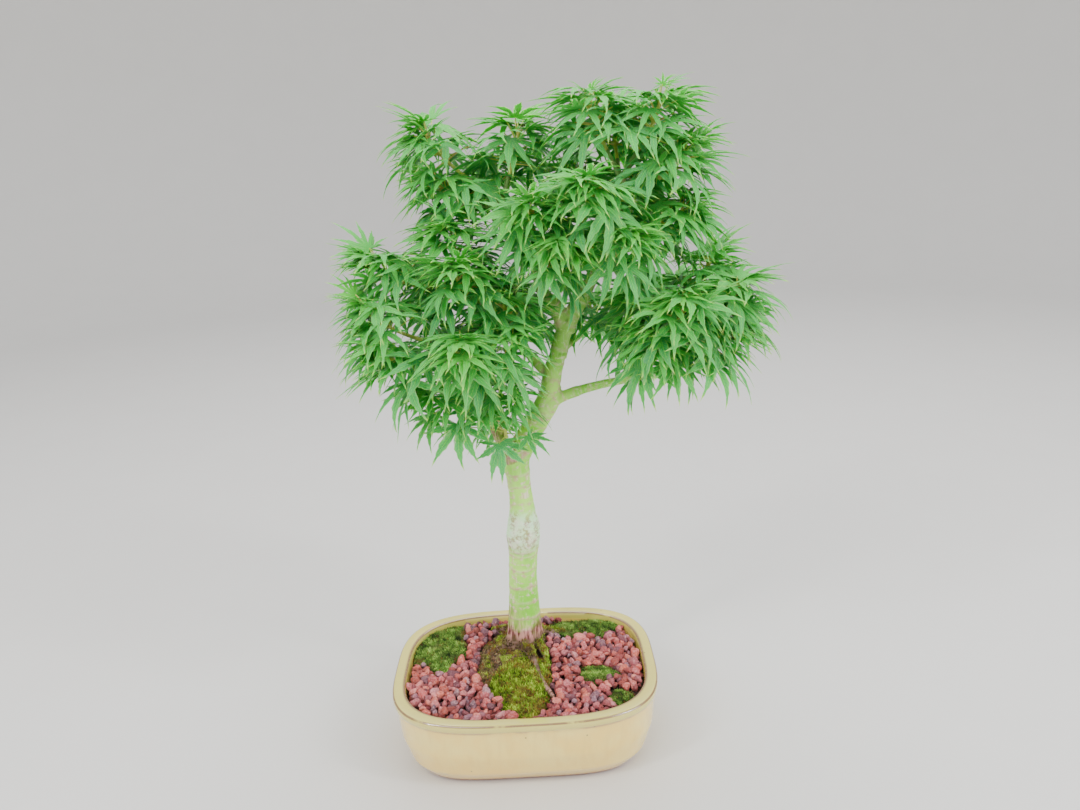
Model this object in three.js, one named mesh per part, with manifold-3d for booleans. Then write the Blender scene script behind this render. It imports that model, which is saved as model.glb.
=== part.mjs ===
// Dwarf Japanese maple bonsai in a glazed rounded-rectangular pot, in millimetres with +Z up.
// The origin is the middle of the pot's underside, +X runs along the pot's length and -Y is the front.
import * as THREE from 'three';
import { mergeVertices } from 'three/addons/utils/BufferGeometryUtils.js';
import Module from 'manifold-3d';

const wasm = await Module();
wasm.setup();

// Driving dimensions

const GAP = 0.3; // clear space between two pieces that touch
const SHORTEST_EDGE = 0.05; // finer detail, where pieces join, is merged away
const POT_LENGTH = 308;
const POT_DEPTH = 242;
const POT_HEIGHT = 89.4;
const LIP_WIDTH = 14.5;
const LIP_BAND = 9;
const FOOT_LENGTH = 244;
const FOOT_DEPTH = 188;
const FLOOR_THICKNESS = 10;
const WALL_THICKNESS = 9;
const RIM_POWER = 3.3; // squareness of the rim's outline
const FOOT_POWER = 4.6;
const POT_POINTS = 32; // points round an outline of the pot
const LIP_ROUND = 1.6; // rounding of the lip's edges
const INNER_TAPER = { reach: 0.62, power: 1.6 }; // how the inner wall draws in towards the floor
const FLOOR_ROUND = 4; // how far the inner wall's foot is filled in
const THROUGH = 40; // longer than any wall is thick, and higher than anything on the soil

const DRAIN_HOLE = { x: 62, radius: 11, sides: 12 };
const WIRE_HOLE = { x: 30, y: 45, radius: 2.5, sides: 6 };
const DRAIN_CHANNEL = { length: 100, width: 9, depth: 3 };
const SCREEN = { side: 42, thickness: 1, openings: 2, bar: 3 };

const SOIL_TOP = 77;
const STONE_REACH = 8.4; // from a stone's peak to its corners
const STONE_JITTER = 2.1;
const STONE_HEIGHT = [6.2, 9]; // peaks of the gravel above the soil
const CREVICE_HEIGHT = [2.2, 4.4];
const STONE_SEED = 71;
const LEAF_SEED = 101; // of the first leafy twig

const TRUNK_Y = 54; // the tree stands behind the middle of the pot
const TRUNK_SIDES = 12;
const ROOT_BASE = { depth: 34, radius: 19 };
const ROOT_FLARE = { z: 82, spread: 24, share: 0.11, ridges: 5, turn: 0.6 };
const ROOT_LIFT = 0.4; // clear space between the soil and a root on it
const ROOT_RISE = 5; // how far a root climbs where it joins the trunk
const ROOT_SHAPE = { sides: 5, steps: 4 };
const LIMB_SHAPE = { sides: 6, steps: 5 };
const TWIG_SIDES = 3;
const TWIG_RADII = [2.8, 1.5]; // at the limb and at the tip
const TWIG_BEND = { leaving: -0.1, arriving: 0.7, handle: 0.34 };
const STEM_SHARE = 0.6; // share of a twig, from its tip back, that is one piece with its leaves
const TWIG_GAP = 0.35; // between that piece and the rest of the twig

const BLADE_THICKNESS = 0.9;
const BLADE_DROOP = 0.0034; // a blade's fall is this times its length squared
const BLADE_REACH = 30; // middling length of a lobe
const STALK_WIDTH = 2;
const STALK_FREE = 0.6; // share of a stalk, from its twig, where it may touch its twig's other leaves
const STEM_BEARING = 34; // length of a twig that bears leaves, back from its tip
const LEAVES_ON_SPRAY = 14; // places for leaves along one leafy twig
const LEAVES_KEPT = 4; // of those places, how many carry a leaf here

// How the leaves of a twig stand, from the youngest at its tip to the oldest, and how far they stray
const LEAF_TURN = { step: 137.5, stray: [-14, 14] }; // degrees round the twig from leaf to leaf
const LEAF_LEAN = { young: 22, old: 104, stray: [-8, 8] }; // degrees from the twig to the stalk
const LEAF_STALK = { young: 15, old: 29, stray: [-3, 3] }; // length of the stalk
const LEAF_FALL = { young: -2, old: 40, stray: [-12, 14] }; // degrees that the blade points below level
const LEAF_ROLL = { young: 0, old: 0, stray: [-20, 20] }; // degrees about the middle lobe
const LEAF_SIZE = { young: 0.82, old: 1.04, stray: [-0.08, 0.1] };
const STALK_LIFT = 0.25; // how far the stalks turn up to the light

// The leaf's lobes: angle from the middle lobe in degrees, and length
const LOBES = [[-102, 25], [-66, 37], [-33, 43], [0, 46], [33, 43], [66, 37], [102, 25]];
const NOTCH_SHARE = 0.28; // how far out the cuts between lobes begin, as a share of the lobes
const REAR_CORNER = { angle: 125, reach: 2.4 }; // where the blade ends either side of its stalk

// Small helpers

const v3 = (x, y, z) => new THREE.Vector3(x, y, z);
const UP = v3(0, 0, 1);
const radians = THREE.MathUtils.degToRad;
const mix = THREE.MathUtils.lerp;

let drawState = 1;

function seedDraws(number) {
  drawState = number >>> 0;
}

// A seeded number from 0 to 1
function draw() {
  drawState = (Math.imul(drawState, 1664525) + 1013904223) >>> 0;
  return drawState / 4294967296;
}

function drawBetween(low, high) {
  return mix(low, high, draw());
}

// One closed skin through rings with equal numbers of points, with a flat fan over each end
function loft(rings) {
  const count = rings[0].length;
  const positions = rings.flat().flatMap((p) => [p.x, p.y, p.z]);
  const index = [];
  for (let r = 0; r + 1 < rings.length; r++) {
    for (let i = 0; i < count; i++) {
      const a = r * count + i;
      const b = r * count + ((i + 1) % count);
      index.push(a, b, b + count, a, b + count, a + count);
    }
  }
  const last = (rings.length - 1) * count;
  for (let i = 1; i + 1 < count; i++) {
    index.push(0, i + 1, i);
    index.push(last, last + i, last + i + 1);
  }
  return meshOf(positions, index);
}

function meshOf(positions, index) {
  const geometry = new THREE.BufferGeometry();
  geometry.setAttribute('position', new THREE.Float32BufferAttribute(positions, 3));
  geometry.setIndex(index);
  return geometry;
}

function solid(geometry) {
  geometry.deleteAttribute('normal');
  geometry.deleteAttribute('uv');
  const merged = mergeVertices(geometry, 1e-4);
  return new wasm.Manifold(new wasm.Mesh({
    numProp: 3,
    vertProperties: Float32Array.from(merged.attributes.position.array),
    triVerts: Uint32Array.from(merged.index.array),
  }));
}

function geometryOf(manifold) {
  const mesh = manifold.getMesh();
  return meshOf(Array.from(mesh.vertProperties), Array.from(mesh.triVerts));
}

function joined(manifolds) {
  return wasm.Manifold.union(manifolds);
}

// The outer skin of the largest body, without loose scraps and sealed hollows
function largest(manifold) {
  const bodies = manifold.simplify(SHORTEST_EDGE).decompose();
  return bodies.reduce((best, body) => (body.volume() > best.volume() ? body : best));
}

function placed(geometry, x, y, z) {
  return geometry.translate(x, y, z);
}

// Outline of a rounded rectangle as a superellipse, counter-clockwise from +X
function roundedOutline(length, depth, power, z) {
  const points = [];
  for (let i = 0; i < POT_POINTS; i++) {
    const angle = (2 * Math.PI * (i + 0.5)) / POT_POINTS;
    const c = Math.cos(angle);
    const s = Math.sin(angle);
    const x = (length / 2) * Math.sign(c) * Math.abs(c) ** (2 / power);
    const y = (depth / 2) * Math.sign(s) * Math.abs(s) ** (2 / power);
    points.push(v3(x, y, z));
  }
  return points;
}

// A direction well away from the given one, from which turns about it are measured
function sidewaysOf(direction) {
  return Math.abs(direction.z) > 0.8 ? v3(1, 0, 0) : UP;
}

// A tapered tube along a curve from one share of its length to another
function tube(curve, from, to, radiusAt, { sides, steps }) {
  const side = sidewaysOf(curve.getPointAt(1).sub(curve.getPointAt(0)).normalize());
  const rings = [];
  for (let k = 0; k <= steps; k++) {
    const u = mix(from, to, k / steps);
    const centre = curve.getPointAt(u);
    const tangent = curve.getTangentAt(u);
    const first = side.clone().addScaledVector(tangent, -side.dot(tangent)).normalize();
    const second = tangent.clone().cross(first);
    const ring = [];
    for (let i = 0; i < sides; i++) {
      const angle = (2 * Math.PI * i) / sides;
      const radius = radiusAt(u);
      ring.push(centre.clone()
        .addScaledVector(first, radius * Math.cos(angle))
        .addScaledVector(second, radius * Math.sin(angle)));
    }
    rings.push(ring);
  }
  return loft(rings);
}

// Pot

// Outside of the pot below its lip: height, and how far in from the rim to the foot, from 0 to 1
const POT_SIDE = [[0, 1], [6, 0.78], [19, 0.4], [44, 0.12], [79, 0.02]];
const LIP_BULGE = 2; // how far the lip band stands out from the wall below it

function potOutline(inwards, z, shrink = 0) {
  const length = mix(POT_LENGTH, FOOT_LENGTH, inwards) - 2 * shrink;
  const depth = mix(POT_DEPTH, FOOT_DEPTH, inwards) - 2 * shrink;
  return roundedOutline(length, depth, mix(RIM_POWER, FOOT_POWER, inwards), z);
}

// Inner wall of the pot, set in further by clearance: straight from its knee up to its brim
const KNEE = 40;
const BRIM = POT_HEIGHT - LIP_ROUND;

function innerRing(z, clearance) {
  const height = (z - FLOOR_THICKNESS) / (POT_HEIGHT - FLOOR_THICKNESS);
  const inwards = INNER_TAPER.reach * (1 - height) ** INNER_TAPER.power;
  return potOutline(inwards, z, mix(WALL_THICKNESS, LIP_WIDTH, height) + clearance);
}

function innerWall(z, clearance = 0) {
  if (z < KNEE) {
    return innerRing(z, clearance);
  }
  const high = innerRing(BRIM, clearance);
  return innerRing(KNEE, clearance).map((p, i) => p.lerp(high[i], (z - KNEE) / (BRIM - KNEE)));
}

function holeSolid({ radius, sides }, x, y) {
  const geometry = new THREE.CylinderGeometry(radius, radius, THROUGH, sides).rotateX(Math.PI / 2);
  return solid(placed(geometry, x, y, 0));
}

function makePot() {
  const rings = POT_SIDE.map(([z, inwards]) => potOutline(inwards, z, LIP_BULGE * (1 - inwards)));
  rings.push(potOutline(0, POT_HEIGHT - LIP_BAND, LIP_ROUND / 4));
  rings.push(potOutline(0, BRIM));
  rings.push(potOutline(0, POT_HEIGHT, LIP_ROUND));
  rings.push(potOutline(0, POT_HEIGHT, LIP_WIDTH - LIP_ROUND));
  rings.push(innerWall(BRIM), innerWall(KNEE), innerWall(FLOOR_THICKNESS, FLOOR_ROUND));
  let pot = solid(loft(rings));
  for (const side of [-1, 1]) {
    const { length, width, depth } = DRAIN_CHANNEL;
    const channel = new THREE.BoxGeometry(length, width, 2 * depth);
    pot = pot.subtract(solid(placed(channel, side * (DRAIN_HOLE.x + length / 2), 0, 0)));
    pot = pot.subtract(holeSolid(DRAIN_HOLE, side * DRAIN_HOLE.x, 0));
    for (const end of [-1, 1]) {
      pot = pot.subtract(holeSolid(WIRE_HOLE, side * WIRE_HOLE.x, end * WIRE_HOLE.y));
    }
  }
  return pot;
}

// Plastic mesh over a drain hole
function makeScreen(x) {
  const pitch = (SCREEN.side - SCREEN.bar) / SCREEN.openings;
  const opening = pitch - SCREEN.bar;
  const middle = (SCREEN.openings - 1) / 2;
  let screen = solid(new THREE.BoxGeometry(SCREEN.side, SCREEN.side, SCREEN.thickness));
  for (let row = 0; row < SCREEN.openings; row++) {
    for (let column = 0; column < SCREEN.openings; column++) {
      const hole = new THREE.BoxGeometry(opening, opening, 3 * SCREEN.thickness);
      screen = screen.subtract(solid(placed(hole, (column - middle) * pitch, (row - middle) * pitch, 0)));
    }
  }
  return screen.translate([x, 0, FLOOR_THICKNESS + GAP + SCREEN.thickness / 2]);
}

// Tree

// Middle and radius of the trunk at each height, with the swelling where it was grafted
const TRUNK = [
  [SOIL_TOP - ROOT_BASE.depth, 0, ROOT_BASE.radius],
  [70, -1, 22],
  [82, -1, 24.5],
  [92, -0.5, 22.5],
  [111, 0.5, 20.4],
  [140, 1.5, 18.4],
  [180, 2.5, 17],
  [207, 4.5, 17.6],
  [222, 5.5, 19],
  [240, 6.5, 17.4],
  [272, 6, 14.8],
  [310, 3.5, 15],
  [328, 4, 15.6],
  [352, 18, 14],
  [378, 34, 13.4],
  [396, 44, 13.6],
  [418, 49, 11.4],
  [458, 60, 10.6],
  [488, 70, 10.5],
];

// Each limb runs through its points and tapers from its first radius to its second
const LIMBS = {
  leftFork: {
    radii: [8.6, 4.2],
    points: [[67, 54, 478], [58, 52, 502], [46, 50, 517], [36, 58, 552], [18, 74, 588], [0, 84, 622]],
  },
  rightFork: {
    radii: [9, 4.4],
    points: [[67, 54, 478], [79, 53, 500], [89, 50, 516], [106, 48, 550], [124, 46, 590], [134, 46, 640]],
  },
  rightBranch: {
    radii: [6.2, 3],
    points: [[40, 54, 388], [64, 50, 401], [103, 44, 413], [148, 38, 421], [175, 34, 426], [196, 32, 448]],
  },
  leftBranch: {
    radii: [7.4, 3.6],
    points: [[2, 54, 328], [-11, 48, 350], [-19, 44, 369], [-23, 42, 388], [-38, 38, 424], [-52, 36, 466]],
  },
  backBranch: {
    radii: [5, 3],
    points: [[58, 54, 450], [74, 78, 456], [92, 104, 462]],
  },
  crossBranch: {
    radii: [6, 3],
    points: [[49, 54, 420], [26, 66, 446], [-8, 82, 480], [-40, 90, 520]],
  },
};

// Surface roots: they leave the trunk's foot and run over the soil
const ROOTS = [
  { radii: [6.5, 2.6], points: [[1, 44], [9, 12], [20, -34], [33, -64]] },
  { radii: [6, 2.6], points: [[14, 46], [24, 22], [28, -4]] },
  { radii: [6.5, 2.6], points: [[-16, 50], [-34, 38], [-48, 20]] },
  { radii: [6, 2.4], points: [[18, 66], [38, 72], [54, 70]] },
  { radii: [6, 2.4], points: [[-10, 70], [-26, 84], [-44, 88]] },
];

function trunkCurve() {
  return new THREE.CatmullRomCurve3(TRUNK.map(([z, x]) => v3(x, TRUNK_Y, z)));
}

function limbCurve(name) {
  return new THREE.CatmullRomCurve3(LIMBS[name].points.map((p) => v3(...p)));
}

// The trunk as rings at its listed heights, ridged at the foot where the roots leave it
function trunkSolid(extra) {
  const curve = trunkCurve();
  const rings = TRUNK.map(([z, x, radius], k) => {
    const tangent = curve.getTangent(k / (TRUNK.length - 1));
    const first = v3(1, 0, 0).addScaledVector(tangent, -tangent.x).normalize();
    const second = tangent.clone().cross(first);
    const ridge = ROOT_FLARE.share * Math.exp(-(((z - ROOT_FLARE.z) / ROOT_FLARE.spread) ** 2));
    return Array.from({ length: TRUNK_SIDES }, (_, i) => {
      const angle = (2 * Math.PI * i) / TRUNK_SIDES;
      const reach = radius * (1 + ridge * Math.cos(ROOT_FLARE.ridges * angle + ROOT_FLARE.turn)) + extra;
      return v3(x, TRUNK_Y, z - (k === 0 ? extra : 0))
        .addScaledVector(first, reach * Math.cos(angle))
        .addScaledVector(second, reach * Math.sin(angle));
    });
  });
  return solid(loft(rings));
}

function rootSolid(root, extra) {
  const [thick, thin] = root.radii;
  const lastPoint = root.points.length - 1;
  const path = root.points.map(([x, y], k) => {
    const radius = mix(thick, thin, k / lastPoint);
    return v3(x, y, SOIL_TOP + ROOT_LIFT + radius + ROOT_RISE * (1 - k / lastPoint) ** 3);
  });
  const curve = new THREE.CatmullRomCurve3(path);
  return solid(tube(curve, 0, 1, (u) => mix(thick, thin, u) + extra, ROOT_SHAPE));
}

// Trunk foot and roots, enlarged by extra, for cutting room in what lies round them
function footSolid(extra) {
  return joined([trunkSolid(extra), ...ROOTS.map((root) => rootSolid(root, extra))]);
}

// Leafy twigs: the limb, the share of the limb's length that the twig leaves from, and the twig's tip.
// A last number is for a twig with fewer places for leaves.
const SPRAYS = {
  crown_left_front: ['leftFork', 0.72, [36, 6, 610]],
  crown_left_top: ['leftFork', 0.96, [26, 98, 690]],
  crown_left_far: ['leftFork', 0.98, [-74, 92, 692]],
  crown_left_low: ['leftFork', 0.9, [-64, 84, 638]],
  crown_left_back: ['leftFork', 0.85, [-8, 146, 650]],
  crown_front: ['rightFork', 0.72, [94, -14, 632]],
  crown_middle: ['rightFork', 0.5, [132, -12, 578]],
  crown_front_left: ['leftFork', 0.5, [64, -8, 574]],
  crown_top: ['rightFork', 0.98, [102, 56, 716]],
  crown_top_right: ['rightFork', 1, [174, 44, 710]],
  crown_top_back: ['rightFork', 0.95, [132, 108, 700]],
  crown_right: ['rightFork', 0.85, [198, 36, 660]],
  crown_right_low: ['rightFork', 0.62, [194, 38, 600]],
  crown_back: ['rightFork', 0.7, [92, 128, 644]],
  crown_back_right: ['rightFork', 0.6, [164, 112, 624]],
  left_tip: ['crossBranch', 0.98, [-52, 58, 588]],
  left_high: ['crossBranch', 0.95, [-138, 54, 560]],
  left_middle: ['crossBranch', 0.9, [-48, 14, 552]],
  left_far: ['leftBranch', 0.98, [-142, 14, 516]],
  left_front: ['leftBranch', 0.95, [-44, -26, 478]],
  left_low_far: ['leftBranch', 0.82, [-126, 0, 470]],
  left_bottom: ['leftBranch', 0.62, [-80, 20, 412]],
  left_inner: ['crossBranch', 0.45, [0, 28, 516]],
  left_inner_low: ['leftBranch', 0.75, [8, 4, 470]],
  left_under: ['leftBranch', 0.5, [-10, 22, 416]],
  left_back: ['crossBranch', 0.92, [-90, 114, 528]],
  left_back_low: ['crossBranch', 0.6, [-62, 106, 462]],
  left_back_inner: ['crossBranch', 0.5, [6, 122, 506]],
  trunk_tuft: ['leftBranch', 0.12, [-6, 24, 384], 7],
  right_top: ['rightBranch', 1, [228, 56, 540]],
  right_inner: ['rightBranch', 0.9, [150, 46, 504]],
  right_front: ['rightBranch', 0.97, [186, -14, 510]],
  right_far: ['rightBranch', 0.99, [252, 18, 518]],
  right_low_far: ['rightBranch', 0.93, [238, 10, 470]],
  right_low: ['rightBranch', 0.85, [164, 4, 474]],
  right_back: ['rightBranch', 0.96, [198, 102, 502]],
  middle_back: ['backBranch', 0.97, [106, 118, 480]],
};

// The twig from its limb to its tip, arriving partly upwards
function twigCurve([limbName, share, tip]) {
  const start = limbCurve(limbName).getPointAt(share);
  const end = v3(...tip);
  const chord = end.clone().sub(start);
  const reach = chord.length();
  chord.normalize();
  const leaving = chord.clone().addScaledVector(UP, TWIG_BEND.leaving).normalize();
  const arriving = chord.clone().addScaledVector(UP, TWIG_BEND.arriving).normalize();
  return new THREE.CubicBezierCurve3(
    start,
    start.clone().addScaledVector(leaving, TWIG_BEND.handle * reach),
    end.clone().addScaledVector(arriving, -TWIG_BEND.handle * reach),
    end,
  );
}

function twigRadius(u) {
  return mix(...TWIG_RADII, u);
}

function makeTree() {
  const parts = [footSolid(0)];
  for (const name of Object.keys(LIMBS)) {
    const [thick, thin] = LIMBS[name].radii;
    parts.push(solid(tube(limbCurve(name), 0, 1, (u) => mix(thick, thin, u), LIMB_SHAPE)));
  }
  for (const spray of Object.values(SPRAYS)) {
    const shape = { sides: TWIG_SIDES, steps: 1 };
    parts.push(solid(tube(twigCurve(spray), 0, 1 - STEM_SHARE, twigRadius, shape)));
  }
  return largest(joined(parts));
}

// Leaves

// A lobed blade and its stalk. The stalk meets the blade at the place's base, behind the middle lobe.
function leafGeometry(place, thickness, stalkWidth) {
  const half = thickness / 2;
  const inBlade = (degrees, reach, lift) => {
    const angle = radians(degrees);
    const length = reach * place.size;
    return place.base.clone()
      .addScaledVector(place.along, length * Math.cos(angle))
      .addScaledVector(place.across, length * Math.sin(angle))
      .addScaledVector(place.face, lift - BLADE_DROOP * length * length);
  };
  const points = [inBlade(0, 0, half), inBlade(0, 0, -half)];
  const last = LOBES.length - 1;
  // Upper and lower corner of each cut between lobes; at the two rear corners they are one
  const cuts = [[2, 2]];
  points.push(inBlade(-REAR_CORNER.angle, REAR_CORNER.reach, 0));
  for (let i = 0; i < last; i++) {
    const reach = (NOTCH_SHARE * (LOBES[i][1] + LOBES[i + 1][1])) / 2;
    const angle = (LOBES[i][0] + LOBES[i + 1][0]) / 2;
    cuts.push([points.length, points.length + 1]);
    points.push(inBlade(angle, reach, half), inBlade(angle, reach, -half));
  }
  cuts.push([points.length, points.length]);
  points.push(inBlade(REAR_CORNER.angle, REAR_CORNER.reach, 0));
  const index = [];
  LOBES.forEach(([degrees, reach], i) => {
    const tip = points.length;
    points.push(inBlade(degrees, reach, 0));
    const [rightTop, rightLow] = cuts[i];
    const [leftTop, leftLow] = cuts[i + 1];
    index.push(0, rightTop, tip, 0, tip, leftTop);
    index.push(1, tip, rightLow, 1, leftLow, tip);
    if (i > 0) {
      index.push(rightTop, rightLow, tip);
    }
    if (i < last) {
      index.push(tip, leftLow, leftTop);
    }
  });
  // The stalk's four corners at the twig, in the order of the blade's four rear corners
  const stalk = place.base.clone().sub(place.node).normalize();
  const side = place.across.clone().addScaledVector(stalk, -stalk.dot(place.across)).normalize();
  const lift = side.clone().cross(stalk).multiplyScalar(-1);
  const flip = lift.dot(place.face) < 0 ? -1 : 1;
  const foot = points.length;
  for (const [sideways, upwards] of [[0, 1], [1, 0], [0, -1], [-1, 0]]) {
    points.push(place.node.clone()
      .addScaledVector(side, (sideways * stalkWidth) / 2)
      .addScaledVector(lift, (upwards * flip * stalkWidth) / 2));
  }
  const rear = [0, cuts[last + 1][0], 1, 2];
  for (let i = 0; i < 4; i++) {
    const next = (i + 1) % 4;
    index.push(rear[i], rear[next], foot + next, rear[i], foot + next, foot + i);
  }
  index.push(foot, foot + 1, foot + 2, foot, foot + 2, foot + 3);
  return meshOf(points.flatMap((p) => [p.x, p.y, p.z]), index);
}

function drawAtAge(range, age) {
  return mix(range.young, range.old, age) + drawBetween(...range.stray);
}

// The places for leaves on one leafy twig, in the order of the seeded draws
function leafPlaces(curve, seed, count = LEAVES_ON_SPRAY) {
  seedDraws(seed);
  const bearing = Math.min(STEM_BEARING / curve.getLength(), 0.9 * STEM_SHARE);
  const axis = curve.getTangentAt(1);
  const first = sidewaysOf(axis).clone().cross(axis).normalize();
  const second = axis.clone().cross(first);
  const start = drawBetween(0, 360);
  const places = [];
  for (let k = 0; k < count; k++) {
    const age = k / (count - 1);
    const around = radians(start + LEAF_TURN.step * k + drawBetween(...LEAF_TURN.stray));
    const lean = radians(drawAtAge(LEAF_LEAN, age));
    const stalk = drawAtAge(LEAF_STALK, age);
    const fall = radians(drawAtAge(LEAF_FALL, age));
    const roll = radians(drawAtAge(LEAF_ROLL, age));
    const size = drawAtAge(LEAF_SIZE, age);
    const u = 1 - age * bearing;
    const reach = axis.clone().multiplyScalar(Math.cos(lean))
      .addScaledVector(first, Math.sin(lean) * Math.cos(around))
      .addScaledVector(second, Math.sin(lean) * Math.sin(around))
      .addScaledVector(UP, STALK_LIFT)
      .normalize();
    const heading = v3(reach.x, reach.y, 0).normalize();
    const along = heading.multiplyScalar(Math.cos(fall)).addScaledVector(UP, -Math.sin(fall));
    const across = UP.clone().cross(along).normalize();
    const face = along.clone().cross(across);
    const turned = across.clone().multiplyScalar(Math.cos(roll)).addScaledVector(face, Math.sin(roll));
    const node = curve.getPointAt(u).addScaledVector(reach, 0.4 * twigRadius(u));
    places.push({
      node,
      base: node.clone().addScaledVector(reach, stalk),
      along,
      across: turned,
      face: along.clone().cross(turned),
      size,
    });
  }
  return places;
}

// A leaf, grown by extra all round
function leafSolid(place, extra) {
  const grown = { ...place, size: place.size * (1 + extra / BLADE_REACH) };
  return solid(leafGeometry(grown, BLADE_THICKNESS + 2 * extra, STALK_WIDTH + 2 * extra));
}

// A leaf without the lower part of its stalk, where it may meet no other leaf of its twig
function bladeSolid(place) {
  const node = place.node.clone().lerp(place.base, STALK_FREE);
  return solid(leafGeometry({ ...place, node }, BLADE_THICKNESS, STALK_WIDTH));
}

function boxesMeet(a, b) {
  return [0, 1, 2].every((axis) => a.min[axis] <= b.max[axis] && b.min[axis] <= a.max[axis]);
}

function clearOf(manifold, others) {
  const box = manifold.boundingBox();
  return others.every((other) => !boxesMeet(box, other.box) || manifold.intersect(other.body).isEmpty());
}

// The sprays get one leaf each in turn; a leaf that would cross another piece isn't grown
function makeSprays(tree) {
  const taken = [{ owner: 'tree', body: tree, box: tree.boundingBox() }];
  const take = (owner, body) => taken.push({ owner, body, box: body.boundingBox() });
  const waiting = {};
  Object.keys(SPRAYS).forEach((name, s) => {
    const curve = twigCurve(SPRAYS[name]);
    const start = 1 - STEM_SHARE + TWIG_GAP / curve.getLength();
    take(name, solid(tube(curve, start, 1, twigRadius, { sides: TWIG_SIDES, steps: 2 })));
    const places = leafPlaces(curve, LEAF_SEED + s, SPRAYS[name][3]);
    // Every other place comes first, from the lowest up, which spreads the leaves round the twig
    waiting[name] = [1, 0].flatMap((parity) => places.filter((_, k) => k % 2 === parity).reverse());
  });
  const fits = (name, place) => {
    const others = taken.filter((item) => item.owner !== name);
    const leaves = taken.filter((item) => item.owner === name).slice(1);
    return clearOf(leafSolid(place, GAP), others) && clearOf(bladeSolid(place), leaves);
  };
  for (let round = 0; round < LEAVES_KEPT; round++) {
    for (const [name, places] of Object.entries(waiting)) {
      let place = places.shift();
      while (place && !fits(name, place)) {
        place = places.shift();
      }
      if (place) {
        take(name, leafSolid(place, 0));
      }
    }
  }
  return Object.keys(SPRAYS).map((name) => {
    const bodies = taken.filter((item) => item.owner === name).map((item) => item.body);
    return [name, largest(joined(bodies))];
  });
}

// Ground: soil, gravel and moss

// Patches on the soil: middle, half sizes, height of the crown, seed, and waves of the edge
const PATCHES = {
  moss_left: { x: -106, y: 52, rx: 36, ry: 56, crown: 7, seed: 11, wave: 0.09 },
  moss_middle: { x: -4, y: -36, rx: 36, ry: 62, crown: 10, seed: 12, wave: 0.08 },
  moss_back: { x: 76, y: 78, rx: 50, ry: 22, crown: 6, seed: 13, wave: 0.1 },
  moss_right: { x: 85, y: -22, rx: 24, ry: 17, crown: 5, seed: 14, wave: 0.12 },
  moss_front: { x: 108, y: -68, rx: 15, ry: 13, crown: 5, seed: 15, wave: 0.1 },
  litter: { x: -22, y: 22, rx: 34, ry: 62, crown: 3.5, seed: 16, wave: 0.1 },
};
const PATCH_POINTS = 12;
const PATCH_EDGE = 3; // height of a patch's rim
const PATCH_SHARES = [0.76, 0.42]; // rings of a patch within its edge
const PATCH_BUMP = 1.1;
const SUNK = 1; // how far below the soil's top a patch's outline starts before it is trimmed

function patchReach(patch, angle) {
  const wave = Math.sin(3 * angle + patch.seed) + 0.7 * Math.sin(5 * angle + 2 * patch.seed);
  return 1 + patch.wave * wave;
}

function patchRing(patch, share, z, extra = 0) {
  return Array.from({ length: PATCH_POINTS }, (_, i) => {
    const angle = (2 * Math.PI * i) / PATCH_POINTS;
    const reach = share * patchReach(patch, angle);
    const x = patch.x + (patch.rx * reach + extra) * Math.cos(angle);
    const y = patch.y + (patch.ry * reach + extra) * Math.sin(angle);
    return v3(x, y, typeof z === 'function' ? z() : z);
  });
}

function patchPrism(patch, extra) {
  const low = SOIL_TOP - SUNK;
  return solid(loft([patchRing(patch, 1, low, extra), patchRing(patch, 1, low + THROUGH, extra)]));
}

// The space over the soil inside the pot
function innerPrism(clearance) {
  const outline = innerWall(SOIL_TOP, clearance);
  const levels = [SOIL_TOP + GAP, SOIL_TOP + THROUGH];
  return solid(loft(levels.map((z) => outline.map((p) => v3(p.x, p.y, z)))));
}

function patchSolid(patch) {
  seedDraws(patch.seed);
  const low = SOIL_TOP - SUNK;
  const rings = [patchRing(patch, 1, low), patchRing(patch, 1, low + PATCH_EDGE)];
  for (const share of PATCH_SHARES) {
    const dome = low + PATCH_EDGE + patch.crown * (1 - share * share);
    rings.push(patchRing(patch, share, () => dome + drawBetween(-PATCH_BUMP, PATCH_BUMP)));
  }
  return solid(loft(rings));
}

function makePatches(foot) {
  const inside = innerPrism(GAP);
  const patches = {};
  for (const [name, patch] of Object.entries(PATCHES)) {
    patches[name] = patchSolid(patch).intersect(inside).subtract(foot);
  }
  patches.litter = patches.litter.subtract(patchPrism(PATCHES.moss_middle, GAP));
  for (const name of Object.keys(patches)) {
    patches[name] = largest(patches[name]);
  }
  return patches;
}

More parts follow.
